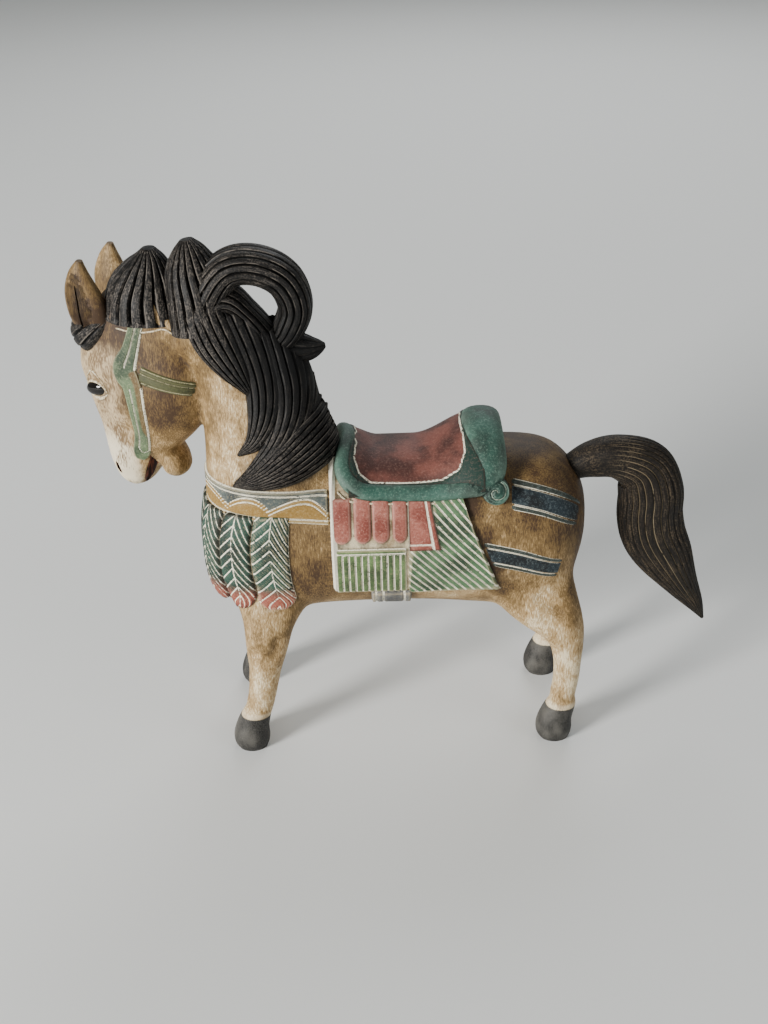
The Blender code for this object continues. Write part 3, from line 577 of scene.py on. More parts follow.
def ball(name, finish, place, radius, stretch, rings, tilt=0.0, turn=0.0):
    """A ball stretched along the head, tilted by its nose and turned with it."""
    bm = bmesh.new()
    bmesh.ops.create_uvsphere(bm, u_segments=rings[0], v_segments=rings[1], radius=radius)
    bmesh.ops.scale(bm, verts=bm.verts, vec=stretch)
    for angle, axis in ((math.radians(tilt), "Y"), (turn, "Z")):
        bmesh.ops.rotate(bm, verts=bm.verts, matrix=Matrix.Rotation(angle, 3, axis))
    bmesh.ops.translate(bm, verts=bm.verts, vec=Vector(place))
    mark(bm, {})
    return as_object(name, bm, finish)


inner = Finish("ear_and_mouth", 0.7)
grain = inner.noise(300, 4.0, (1, 1, 0.3))
throat = inner.mix(inner.between(grain, 0.38, 0.62), "24110b", "75402d")
hollow = inner.mix(inner.between(grain, 0.42, 0.62), "170e08", "6d563c")
upper = inner.between(inner.split(inner.place)[2], 0.28, 0.33)
inner_paint = inner.done(inner.mix(upper, throat, hollow), grain, 0.0004)

eye_gloss = Finish("glossy_eye", 0.08)
shine = eye_gloss.noise(400)
eye_paint = eye_gloss.done(eye_gloss.mix(shine, "050504", "14110f"), shine, 0.00002)

lid = Finish("pale_lids", 0.6)
grain = lid.noise(700, 3.0)
lid_paint = lid.done(lid.mix(lid.between(grain, 0.35, 0.6), "a08c68", "ded2b6"), grain)

for side in (1, -1):
    carvings.append(swept("ear", turned(EAR, side), 24, 28, HEAD_LEFT, finish=coat_paint))
    cuts.append(swept("ear_hollow", turned(EAR_HOLLOW, side), 20, 24, HEAD_LEFT,
                      finish=inner_paint))
    cuts.append(swept("ear_crack", turned(EAR_CRACK, side), 12, 10, HEAD_LEFT,
                      finish=inner_paint))
    place, normal = on_face(*EYE, side)
    carvings.append(ball("eye", eye_paint, place - EYE_SINK * normal, EYE_HALF, (1.0, 0.5, 0.56),
                         (32, 20), -9, -HEAD_TURN))
    for rise, thick in EYELIDS:
        arc = []
        for step in np.linspace(-1, 1, 9):
            found = on_face(EYE[0] + 1.2 * step, EYE[1] + 0.15 * step + rise * (1 - step ** 2),
                            side)
            if found:
                arc.append(tuple(found[0] + 0.02 * found[1]) + (thick * (1.25 - step ** 2),) * 2)
        carvings.append(swept("eyelid", arc, 20, 10, (0, 0, 1), finish=lid_paint))
    cuts.append(ball("nostril", inner_paint, on_face(*NOSTRIL, side)[0], 0.6, (0.36, 0.8, 1.0),
                     (18, 12), -14))

# the mouth is a wedge cut between the jaws from each side, with the tongue left between
for side in (1, -1):
    bm = bmesh.new()
    bmesh.ops.create_cone(bm, cap_ends=True, segments=3, radius1=1, radius2=1, depth=2)
    for vert in bm.verts:
        forward, z = MOUTH_WEDGE[round(math.degrees(math.atan2(vert.co.y, vert.co.x)))]
        vert.co = Vector(on_head(forward, side * (2.5 + 1.65 * vert.co.z), z))
    mark(bm, {})
    cuts.append(as_object("mouth", bm, inner_paint))
cuts.append(ball("mouth_notch", inner_paint, on_head(*MOUTH_NOTCH), 1.0, (0.45, 3.0, 1.3),
                 (20, 14), 0, -HEAD_TURN))


# Bridle straps
# Flat straps left proud on each cheek, painted sage green, with a cream line cut along both
# edges. The cheek strap runs down to a point at the mouth and another crosses the jaw.
STRAP_PROUD = 0.2
CHEEK_STRAP = [
    (4.5, 39.6, 0.6), (5.2, 37.3, 0.75), (5.85, 35.6, 1.15), (5.2, 34.2, 0.95),
    (5.2, 31.2, 0.75), (5.45, 29.2, 0.72), (5.9, 27.8, 0.7), (6.2, 27.0, 0.3),
]
JAW_STRAP = [(4.6, 35.4, 0.75), (2.4, 34.75, 0.65), (0.3, 34.1, 0.6)]


def smoothed(grid, passes):
    """Even out a grid of points, keeping its rim."""
    for _ in range(passes):
        calm = grid.copy()
        calm[1:-1] = (grid[:-2] + 2 * grid[1:-1] + grid[2:]) / 4
        calm[:, 1:-1] = (calm[:, :-2] + 2 * calm[:, 1:-1] + calm[:, 2:]) / 4
        grid = calm
    return grid


def sheet(name, finish, place, draw, across, along, sink=0.5, passes=3):
    """Add to the carvings a sheet left proud on the wood, closed behind.

    place(u, v) finds its point and the way out of the wood. draw(u, v, rim) says how far it
    stands off, where its painted lines run, its height and its share along; rim is the
    distance to the sheet's own edge.
    """
    found = [[place(i / across, j / along) for j in range(along + 1)] for i in range(across + 1)]
    points = smoothed(np.array([[pair[0] for pair in row] for row in found]), passes)
    outs = np.array([[pair[1] for pair in row] for row in found])
    for _ in range(4):
        outs = smoothed(outs, 3)
        outs[0], outs[-1] = outs[1], outs[-2]
        outs[:, 0], outs[:, -1] = outs[:, 1], outs[:, -2]
        outs = outs / np.linalg.norm(outs, axis=2, keepdims=True)
    rims = []
    for axis in (0, 1):
        steps = np.linalg.norm(np.diff(points, axis=axis), axis=2)
        passed = np.insert(np.cumsum(steps, axis=axis), 0, 0, axis=axis)
        rims.append(np.minimum(passed, np.take(passed, [-1], axis=axis) - passed))
    rim = np.minimum(*rims)
    bm = bmesh.new()
    bmesh.ops.create_grid(bm, x_segments=across, y_segments=along, size=0.5)
    faces = bmesh.ops.extrude_face_region(bm, geom=bm.faces[:])["geom"]
    fronts = {item for item in faces if isinstance(item, bmesh.types.BMVert)}
    marks = {}
    for vert in bm.verts:
        i, j = round((vert.co.x + 0.5) * across), round((vert.co.y + 0.5) * along)
        lift, lines, gap, height, share = draw(i / across, j / along, rim[i, j])
        marks[vert] = (lines, gap, height, share)
        vert.co = Vector(points[i, j] + (lift if vert in fronts else -sink) * outs[i, j])
    mark(bm, marks)
    carvings.append(as_object(name, bm, finish))


def rounded(rim, reach):
    """The rounding of a sheet's edge: 0 at the rim, 1 from the reach on."""
    share = min(rim / reach, 1.0)
    return math.sqrt(1 - (1 - share) ** 2)


def along_strip(skin_at, side, stations, along):
    """Places of a strip whose middle line and half width are given on a flat layout."""
    rows = smooth_rows(stations, along + 1)
    ways = np.gradient(rows[:, :2], axis=0)
    ways /= np.linalg.norm(ways, axis=1, keepdims=True)

    def place(u, v):
        row, way = rows[round(v * along)], ways[round(v * along)]
        offset = (2 * u - 1) * max(row[2], 0.08)
        return skin_at(row[0] - way[1] * offset, row[1] + way[0] * offset, side)

    return place


def painted(name, dark, light, worn="cbb994", line="f4eed8", line_share=None, rim=None, tip=None,
            speckle=0.45):
    """Milk paint over a cream ground: rubbed through in specks, with cream in the cut lines."""
    paint = Finish(name)
    lines, gap = paint.map("Plan")
    broad = paint.noise(45, 3.0)
    fine = paint.noise(520, 4.0)
    grain = paint.noise(2300, 2.0)
    colour = paint.mix(paint.between(broad, 0.35, 0.65), dark, light)
    if tip:
        ragged = paint.map("Form")[1] + fine * 0.12
        colour = paint.mix(paint.between(ragged, tip[1], tip[2]), colour, tip[0])
    specks = fine * 0.45 + grain * 0.55
    colour = paint.mix(paint.between(specks, 0.52, 0.64, 0.0, speckle), colour, worn)
    colour = paint.mix(paint.between(specks, 0.38, 0.47, speckle, 0.0), colour, "1d1915")
    colour = paint.mix(paint.edges(0.51, 0.56, 0.0, 0.5), colour, worn)
    wander = (fine - 0.5) * 0.12
    drawn = []
    if line_share:
        away = paint.sums("PINGPONG", lines + wander, 0.5)
        drawn.append(paint.between(away, 0.6 * line_share, line_share, 1.0, 0.0))
    if rim:
        drawn.append(paint.between(gap + wander, 0.7 * rim, rim, 1.0, 0.0))
    chalk = paint.mix(paint.between(grain, 0.32, 0.5), "c9bf9f", line)
    broken = paint.between(fine, 0.33, 0.43)
    for stroke in drawn:
        colour = paint.mix(stroke * broken, colour, chalk)
    colour = paint.mix(paint.edges(0.45, 0.49, 0.7, 0.0), colour, "241c13")
    return paint.done(colour, fine * 0.5 + grain * 0.5, 0.00035)


strap_paint = painted("strap_sage", "2b3b28", "5d6e4e", rim=0.065, tip=("5f4a28", 0.42, 0.62),
                      worn="b9b896", speckle=0.35)
jaw_strap_paint = painted("strap_olive", "282b17", "484a2c", rim=0.05, worn="6a6540",
                          line="8f8b66")


def to_line(value, lines, squares=1.0):
    """Squares to the nearest of the lines cut at these values."""
    return min(abs(value - line) for line in lines) * squares


def cut_at(away, reach=0.12):
    """1 in the bottom of a cut line, 0 past its shoulder."""
    return max(0.0, 1 - away / reach)


def cheek_face(u, v, rim):
    """Two cuts run down the strap; the lower pair meet in a point above its end."""
    turn_in = max(0.0, (v - 0.8) / 0.06)
    pair = (0.36 + 0.24 * turn_in if v > 0.42 else 0.5, 0.93 - 0.33 * turn_in)
    away = to_line(1 - u, pair, 1.6) if v < 0.27 or 0.42 < v < 0.865 else FAR
    cut = cut_at(away, 0.13)
    lift = STRAP_PROUD * rounded(rim, 0.15) - 0.1 * cut
    bare = 1.6 * (0.65 - u) * ease(0.25, 0.35, v) * ease(0.75, 0.6, v)
    return lift, UNLINED, min(away, rim + 0.05), 1 - cut, bare


def jaw_face(u, v, rim):
    away = to_line(u, (0.12, 0.4, 0.88), 1.2)
    cut = cut_at(away)
    return 0.7 * STRAP_PROUD * rounded(rim, 0.12) - 0.1 * cut, UNLINED, away, 1 - cut, 0.0


for side in (1, -1):
    sheet("cheek_strap", strap_paint, along_strip(on_face, side, CHEEK_STRAP, 60), cheek_face,
          22, 60)
    sheet("jaw_strap", jaw_strap_paint, along_strip(on_face, side, JAW_STRAP, 20), jaw_face,
          18, 20)


# Mane
# Charcoal hair in deep-cut locks: a bun on the brow, two clumps over the poll, a loop that
# stands clear of the crest, and long locks down the near side of the neck. The ridges are
# rubbed grey. The far side is a plain row of falling locks.
FORELOCK = [
    (7.4, 1.7, 39.6, 0.5, 0.7), (8.3, 1.7, 39.0, 1.2, 1.3), (9.3, 1.4, 38.2, 1.6, 1.8),
    (10.2, 1.0, 37.4, 1.7, 1.9), (10.9, 0.6, 36.9, 1.1, 1.3), (11.25, 0.4, 36.8, 0.3, 0.4),
]
POLL_LOCKS = (
    [(4.8, 0, 39.4, 3.9, 3.25), (4.8, 0, 41.2, 3.4, 2.9), (4.5, 0, 42.8, 2.5, 2.2),
     (4.3, 0, 44.0, 1.5, 1.4), (4.25, 0, 44.9, 0.5, 0.6)],
    [(-0.4, 0, 39.1, 2.9, 3.3), (0.0, 0, 41.6, 2.7, 2.9), (0.5, 0, 43.6, 2.2, 2.3),
     (0.7, 0, 45.1, 1.3, 1.4), (0.8, 0, 45.9, 0.5, 0.6)],
)
POLL_EDGE = [(6.4, 38.95), (5.4, 38.85), (4.2, 38.85), (3.2, 39.0), (2.2, 39.2), (0.9, 38.7),
             (-0.7, 38.6)]
INNER_LOCK = [
    (-14.6, -0.6, 40.8, 1.4, 2.2), (-12.9, -0.6, 41.4, 1.2, 2.0), (-11.4, -0.7, 40.3, 0.85, 1.9),
    (-10.3, -0.8, 38.6, 1.1, 1.8), (-9.4, -0.8, 36.6, 1.0, 1.6),
]
CURL = [
    (-15.2, -0.4, 39.0, 1.5, 2.4), (-14.2, -0.5, 41.8, 1.6, 2.3), (-12.6, -0.6, 43.8, 1.5, 2.2),
    (-10.4, -0.7, 44.0, 1.5, 2.1), (-8.4, -0.8, 42.9, 1.5, 2.0), (-7.6, -0.9, 40.8, 1.4, 1.8),
    (-8.3, -0.9, 38.8, 1.3, 1.6), (-9.4, -0.8, 37.4, 0.9, 1.2),
]
REAR_LOCK = [
    (-9.6, -0.5, 37.6, 1.5, 1.4), (-7.9, -0.6, 37.1, 1.4, 1.2), (-6.7, -0.6, 37.0, 1.05, 0.9),
    (-5.9, -0.6, 37.1, 0.6, 0.6), (-5.45, -0.6, 37.2, 0.2, 0.25),
]
NEAR_LOCKS = (
    ([(-14.8, 41.0, 1.6), (-13.8, 38.8, 1.9), (-12.7, 36.8, 1.5), (-11.8, 35.2, 0.8),
      (-11.2, 33.9, 0.15)], 0.9, 7),
    ([(-12.2, 40.6, 1.6), (-11.0, 38.0, 1.7), (-10.3, 35.2, 1.6), (-10.4, 32.6, 1.4),
      (-11.3, 30.5, 0.8), (-12.7, 29.3, 0.15)], 0.7, 6),
    ([(-9.4, 39.0, 1.5), (-8.6, 37.0, 1.8), (-8.0, 34.5, 2.0), (-8.2, 32.0, 1.9),
      (-9.3, 29.8, 1.5), (-11.2, 28.0, 0.9), (-13.1, 26.9, 0.15)], 0.8, 8),
    ([(-5.4, 30.9, 3.0), (-6.8, 30.2, 2.8), (-8.9, 28.7, 2.0), (-11.2, 27.4, 1.0),
      (-13.2, 26.7, 0.15)], 1.0, 11),
)
FAR_LOCK_TOPS = ((-15.0, 39.6), (-12.2, 39.0), (-9.6, 36.2), (-7.8, 32.8))
NECK_MIDDLE = (-11.0, 30.0)
# painted shade: about this place in the middle of the mane, where the curl and locks overhang the
# neck, the locks are darkened to near black
MANE_SHADE = ((-0.085, -0.04, 0.36), 0.085)  # metres: the middle of the locks stays black


def on_neck(x, z, side):
    """The side of the neck; past its edge, the nearest place that is still on it."""
    for share in np.linspace(1.0, 0.0, 30):
        found = cast((NECK_MIDDLE[0] + share * (x - NECK_MIDDLE[0]), 0.0, z), (0.0, -side, 0.0))
        if found:
            return found
    return cast((NECK_MIDDLE[0], 0.0, NECK_MIDDLE[1]), (0.0, -side, 0.0))


def hair_finish(name, cut, base, worn, streak, streak_at, whole=0.0):
    """Dark paint, near black in the cuts and, as painted shade, about MANE_SHADE, rubbed along the
    arrises, with fine hairs.
    """
    hair = Finish(name, 0.6)
    hair.shader.inputs["Specular IOR Level"].default_value = 0.25
    lines = hair.map("Plan")[0]
    height, share = hair.map("Form")
    broad = hair.noise(50, 3.0)
    fine = hair.noise(700, 3.0)
    along = hair.node("CombineXYZ", lines * 8.0, share * 9.0).outputs[0]
    rub = hair.noise(1.6, 3.0, here=along) * 0.55 + fine * 0.45
    colour = hair.mix(hair.between(rub, 0.47, 0.62), base, worn)
    colour = hair.mix(hair.between(broad, 0.35, 0.6, 0.7, 0.0), colour, base)
    # painted shade: about MANE_SHADE the colour goes to the cuts' near black, and fewer fine hairs
    # are drawn
    shade = hair.near(*MANE_SHADE)
    colour = hair.mix(shade * 0.92, colour, cut)
    colour = hair.mix(hair.between(height, 0.25, 0.75, 1.0, 0.0), colour, cut)
    away = hair.sums("PINGPONG", lines + ((fine - 0.5) * 0.06 - streak_at), 0.5)
    shown = hair.between(hair.noise(90, 3.0), 0.42 - whole, 0.56 - whole)
    drawn = hair.between(away, 0.025, 0.07, 1.0, 0.0) * (shown * 0.8)
    drawn = drawn * hair.between(shade, 0.0, 1.0, 1.0, 0.2)
    if whole:
        drawn = drawn * hair.between(share, 0.14, 0.26)
    gloss = hair.between(broad, 0.3, 0.7, 0.5, 0.7)
    return hair.done(hair.mix(drawn, colour, streak), rub, 0.0007, gloss)


mane_paint = hair_finish("charcoal_mane", "020202", "0b0a09", "5e5750", "6d665e", 0.2)

for name, stations, rings, sides, wide, power, strands, depth in (
        ("forelock", turned(FORELOCK), 28, 60, HEAD_LEFT, 2.0, 5, 0.12),
        ("poll_lock", turned(POLL_LOCKS[0]), 26, 100, HEAD_LEFT, 2.0, 10, 0.14),
        ("poll_lock", turned(POLL_LOCKS[1]), 26, 100, HEAD_LEFT, 2.0, 10, 0.14),
        ("curl", CURL, 64, 80, (0, 1, 0), 2.2, 8, 0.11),
        ("inner_lock", INNER_LOCK, 24, 70, (0, 1, 0), 2.0, 7, 0.12),
        ("rear_lock", REAR_LOCK, 16, 50, (0, 1, 0), 2.0, 5, 0.12)):
    carvings.append(swept(name, stations, rings, sides, wide, power, strands, depth,
                          finish=mane_paint))
for side in (1, -1):
    met = [on_face(*place, side) for place in POLL_EDGE]
    edge = [tuple(found[0]) + (0.07, 0.07) for found in met if found]
    carvings.append(swept("worn_edge", edge, 50, 8, (0, 0, 1), finish=lid_paint))


def lock(name, side, stations, thick, strands, along, across, crown, groove, taper):
    """A lock laid on the neck: crowned over its width, cut into strands, thinner at its end."""
    def face(u, v, rim):
        body = 1 - crown * abs(2 * u - 1) ** 3
        end = 1 - taper * ease(0.6, 1.0, v)
        height = ridge(u * strands)
        return thick * end * body * (1 - groove + groove * height), u * strands, FAR, height, v

    sheet(name, mane_paint, along_strip(on_neck, side, stations, along), face, across, along)


for stations, thick, strands in NEAR_LOCKS:
    lock("near_lock", 1, stations, thick, strands, 9 * len(stations), 6 * strands, 0.75, 0.28, 0.6)
for x, z in FAR_LOCK_TOPS:
    stations = [(x + 0.6, z + 0.9, 0.3), (x + 0.1, z - 0.8, 1.5), (x - 0.2, z - 3.1, 1.75),
                (x - 0.9, z - 5.0, 1.1), (x - 2.2, z - 6.6, 0.15)]
    lock("far_lock", -1, stations, 0.7, 4, 30, 20, 0.7, 0.3, 0.0)


# Saddle cloth
# A cloth carved proud of the flanks and painted brick red and green, with the cream ground
# left bare between its fields: a row of rounded flutes, a tapered panel, an upright fringe,
# and a green corner of slanting cuts. Places are x and degrees round from the top of the back.
AXIS_Z = 20.5
CLOTH_PROUD = 0.20
FIELD_PROUD = 0.32
CLOTH_FRONT = -5.6
CLOTH_HEM = 125.0
SADDLE_LINE = 44.0
FLUTES = [(-5.45, -3.9), (-3.66, -2.27), (-2.16, -0.77), (-0.52, 0.68)]
FLUTE_END = 77.0
FRINGE = (-5.25, 0.56, 81.5, 124.2)
FRINGE_LINES = 11
PANEL = [(0.74, 44.0), (2.55, 44.0), (3.5, 84.5), (0.74, 84.5)]
PANEL_LINES = (0.42, 0.62)  # squares in from its rear and lower edges
CORNER = [(0.76, 86.0), (3.0, 44.0), (5.14, 44.0), (8.38, 124.2), (0.76, 124.2)]
SQUARES_PER_DEGREE = 0.1135
SLANT = 1.1
SLANT_PITCH = 0.78


def on_barrel(x, turn):
    angle = math.radians(turn)
    return cast((x, 0.0, AXIS_Z), (0.0, -math.sin(angle), math.cos(angle)))


def patch(x_span, turn_span, side=1):
    """Places of a field between two x and between two turns."""
    def place(u, v):
        return on_barrel(x_span[0] + u * (x_span[1] - x_span[0]),
                         side * (turn_span[0] + v * (turn_span[1] - turn_span[0])))

    return place


def rear_edge(turn):
    """The cloth's slanting rear edge, from under the saddle to the hem."""
    return 5.15 + 3.3 * max(0.0, (abs(turn) - 48.0) / (CLOTH_HEM - 48.0))


def cloth_place(u, v):
    turn = CLOTH_HEM * (2 * v - 1)
    return on_barrel(CLOTH_FRONT + u * (rear_edge(turn) - CLOTH_FRONT), turn)


def cloth_face(u, v, rim):
    bead = 0.2 * ease(0.05, 0.02, u)
    return (CLOTH_PROUD + bead) * rounded(rim, 0.12), UNLINED, rim, 1.0, float(u < 0.045)


def field(rise, rim, reach):
    """A painted field's height: it stands on the cloth and is rounded at its rim."""
    return CLOTH_PROUD + 0.02 + (rise - CLOTH_PROUD - 0.02) * rounded(rim, reach)


def beside(lines, reach=0.2):
    """0 in a cut line, rising to 1 at its shoulder."""
    return min(1.0, abs(lines - round(lines)) / reach)


def slant_at(x, turn):
    return turn * SQUARES_PER_DEGREE - SLANT * x


def slant_ends(value):
    """Where one slant crosses the corner's outline."""
    ends = []
    for (x0, t0), (x1, t1) in zip(CORNER, CORNER[1:] + CORNER[:1]):
        s0, s1 = slant_at(x0, t0), slant_at(x1, t1)
        if min(s0, s1) <= value <= max(s0, s1) and abs(s1 - s0) > 1e-6:
            share = (value - s0) / (s1 - s0)
            ends.append((x0 + share * (x1 - x0), t0 + share * (t1 - t0)))
    ends.sort()
    return ends[0], ends[-1]


slants = [slant_at(*corner) for corner in CORNER]
low_slant, high_slant = min(slants) + 0.02, max(slants) - 0.02

ground_paint = painted("bare_cream_ground", "937c59", "cfc2a0", worn="e9e2cf", speckle=0.4,
                       tip=("f1ead6", 0.4, 0.7))
brick_paint = painted("brick_red", "7c3c31", "a05f51", worn="cfa694")
panel_paint = painted("panel_red", "7c3c31", "a05f51", worn="cfa694", rim=0.09)
fringe_paint = painted("fringe_green", "2a3f22", "5d7948", rim=0.08, line_share=0.185,
                       speckle=0.3)
corner_paint = painted("corner_green", "213b28", "4b6e4b", line_share=0.18, speckle=0.3)

sheet("cloth", ground_paint, cloth_place, cloth_face, 60, 60)
for side, fineness in ((1, 1.0), (-1, 0.5)):
    for low, high in FLUTES:
        def flute_place(u, v, low=low, high=high, side=side):
            turn = SADDLE_LINE + v * (FLUTE_END - SADDLE_LINE)
            tip = max(0.0, (turn - FLUTE_END + 5.5) / 5.5)
            reach = (high - low) / 2 * math.sqrt(max(1 - tip ** 2, 0.02))
            return on_barrel((low + high) / 2 + reach * (2 * u - 1), side * turn)

        def flute_face(u, v, rim):
            swell = 0.08 * (1 - (2 * u - 1) ** 2)
            return field(FIELD_PROUD + swell, rim, 0.2), UNLINED, rim, 1.0, v

        sheet("flute", brick_paint, flute_place, flute_face, round(12 * fineness),
              round(24 * fineness))

    def panel_place(u, v, side=side):
        turn = PANEL[0][1] + v * (PANEL[2][1] - PANEL[0][1])
        left = PANEL[0][0] + v * (PANEL[3][0] - PANEL[0][0])
        right = PANEL[1][0] + v * (PANEL[2][0] - PANEL[1][0])
        return on_barrel(left + u * (right - left), side * turn)

    def panel_face(u, v, rim):
        inner = min(abs(1.8 * (1 - u) - PANEL_LINES[0]),
                    abs(4.4 * (1 - v) - PANEL_LINES[1]) + FAR * (u > 0.83))
        lift = field(FIELD_PROUD + 0.1, rim, 0.1) - 0.07 * (inner < 0.08)
        return lift, UNLINED, min(inner, rim), 1.0, v

    def fringe_face(u, v, rim):
        lines = u * FRINGE_LINES
        top = v * 4.8
        if top < 0.5:
            return field(FIELD_PROUD, rim, 0.1), UNLINED, min(rim, abs(top - 0.48)), 1.0, v
        height = beside(lines)
        return field(FIELD_PROUD, rim, 0.1) - 0.09 * (1 - height), lines, rim, height, v

    # the slanting cuts: each column of the grid follows one slant from edge to edge
    def corner_place(u, v, side=side):
        start, end = slant_ends(low_slant + u * (high_slant - low_slant))
        return on_barrel(start[0] + v * (end[0] - start[0]),
                         side * (start[1] + v * (end[1] - start[1])))

    def corner_face(u, v, rim):
        lines = (low_slant + u * (high_slant - low_slant)) / SLANT_PITCH
        height = beside(lines)
        thick = FIELD_PROUD + 0.12 * ease(0.85, 1.0, v)
        return field(thick, rim, 0.06) - 0.09 * (1 - height), lines, FAR, height, v

    sheet("panel", panel_paint, panel_place, panel_face, round(24 * fineness),
          round(32 * fineness))
    sheet("fringe", fringe_paint, patch(FRINGE[:2], FRINGE[2:], side), fringe_face,
          round(6 * FRINGE_LINES * fineness), 30)
    sheet("corner", corner_paint, corner_place, corner_face,
          round((high_slant - low_slant) / SLANT_PITCH * 6 * fineness), round(20 * fineness))


# Saddle
# A dished seat in brick red inside a dark green rolled border that climbs into a pommel and a
# high cantle, with a scroll at each end of the cantle. A rough cream line parts the two.
SEAT_SPAN = (-4.0, 7.0)
SEAT_HALF_TURN = 44.0
SEAT_PROUD = 0.30
CANTLE_RISE = 1.85
POMMEL_RISE = 0.85
CANTLE_SPAN = (1.5, 6.6)
POMMEL_SPAN = (-1.5, -4.0)
ROLL = [
    (-4.3, 0.0, -0.15, 1.0), (-4.5, 18.0, -0.3, 1.0), (-4.3, 31.0, -0.3, 1.05),
    (-3.2, 39.5, -0.25, 1.05), (-1.2, 41.5, -0.2, 1.05), (2.5, 42.5, -0.2, 1.05),
    (5.2, 41.5, -0.3, 1.1), (6.9, 39.0, -0.6, 1.4), (7.5, 31.0, -0.6, 2.0),
    (7.2, 16.0, -0.5, 2.4), (7.1, 0.0, -0.4, 2.5),
]
ROLL_HALF = 0.675
SEAT_LINE = [
    (-3.6, -1.0), (-3.3, 7.0), (-3.5, 20.0), (-3.1, 30.0), (-2.2, 35.0), (0.4, 35.6),
    (3.7, 35.4), (5.0, 31.5), (5.55, 23.0), (5.5, 12.0), (5.4, -1.0),
]
UNDER_LINE = [(-4.9, 40.0), (-4.1, 45.5), (-2.6, 47.8), (0.4, 48.8), (3.0, 49.2), (4.6, 49.2)]
SCROLL = (7.9, 42.5)
SCROLL_SIZE = 1.3
SCROLL_TURNS = 1.35


def seat_height(x, turn):
    crown = math.cos(math.radians(turn)) ** 2
    return SEAT_PROUD + crown * (CANTLE_RISE * ease(*CANTLE_SPAN, x)
                                 + POMMEL_RISE * ease(*POMMEL_SPAN, x))


def off_line(x, turn):
    """Squares from the seat's line, more than 0 outside it."""
    y = abs(turn) * SQUARES_PER_DEGREE
    nearest, inside = FAR, False
    for (x0, t0), (x1, t1) in zip(SEAT_LINE, SEAT_LINE[1:]):
        y0, y1 = t0 * SQUARES_PER_DEGREE, t1 * SQUARES_PER_DEGREE
        share = ((x - x0) * (x1 - x0) + (y - y0) * (y1 - y0)) / ((x1 - x0) ** 2 + (y1 - y0) ** 2)
        share = min(max(share, 0.0), 1.0)
        nearest = min(nearest, math.hypot(x - x0 - share * (x1 - x0), y - y0 - share * (y1 - y0)))
        if (x0 > x) != (x1 > x) and y < y0 + (x - x0) * (y1 - y0) / (x1 - x0):
            inside = not inside
    return -nearest if inside else nearest


def seat_face(u, v, rim):
    x = SEAT_SPAN[0] + u * (SEAT_SPAN[1] - SEAT_SPAN[0])
    turn = SEAT_HALF_TURN * (2 * v - 1)
    off = off_line(x, turn)
    lift = seat_height(x, turn) + 0.16 * ease(-0.05, 0.3, off)
    return lift, UNLINED, abs(off), 1.0, 0.5 + off


seat_paint = painted("seat_red_and_green", "3f231e", "6f4137", worn="a37d6e", speckle=0.3,
                     rim=0.085, tip=("143129", 0.55, 0.57))
border_paint = painted("border_green", "0b241e", "275044", worn="8fa897", speckle=0.38)
sheet("seat", seat_paint, patch(SEAT_SPAN, (-SEAT_HALF_TURN, SEAT_HALF_TURN)), seat_face, 76, 76)

left = smooth_rows(ROLL, 61)
right = [(x, -turn, height, share) for x, turn, height, share in left[-2:0:-1]]
path = [tuple(row) for row in left] + right
met = [on_barrel(x, turn) for x, turn, _, _ in path]
outs = np.array([normal for _, normal in met])
for _ in range(6):
    outs = (np.roll(outs, 1, axis=0) + 2 * outs + np.roll(outs, -1, axis=0)) / 4
    outs /= np.linalg.norm(outs, axis=1, keepdims=True)
core = np.array([point + (seat_height(row[0], row[1]) + row[2]) * out
                 for row, (point, _), out in zip(path, met, outs)])
for _ in range(4):
    core = (np.roll(core, 1, axis=0) + 2 * core + np.roll(core, -1, axis=0)) / 4
bm, levels = drum(len(path) + 1, 22, capped=False)
for vert, ring in levels.items():
    i = ring % len(path)
    way = core[(i + 1) % len(path)] - core[i - 1]
    across = np.cross(way, outs[i])
    across /= np.linalg.norm(across)
    out = np.cross(across, way)
    out /= np.linalg.norm(out)
    thick = ROLL_HALF * (0.9 + 0.35 * (path[i][3] - 1))
    c = math.copysign(abs(vert.co.x) ** 0.9, vert.co.x) * thick
    s = math.copysign(abs(vert.co.y) ** 0.9, vert.co.y) * ROLL_HALF * path[i][3]
    vert.co = Vector(core[i] + c * out + s * across)
mark(bm, {})
bmesh.ops.remove_doubles(bm, verts=bm.verts, dist=0.0001)
carvings.append(as_object("border", bm, border_paint))

for side in (1, -1):
    edge = []
    for x, turn in UNDER_LINE:
        point, out = on_barrel(x, side * turn)
        edge.append(tuple(point + CLOTH_PROUD * out) + (0.1, 0.1))
    carvings.append(swept("rubbed_line", edge, 90, 8, (0, 0, 1), finish=lid_paint))

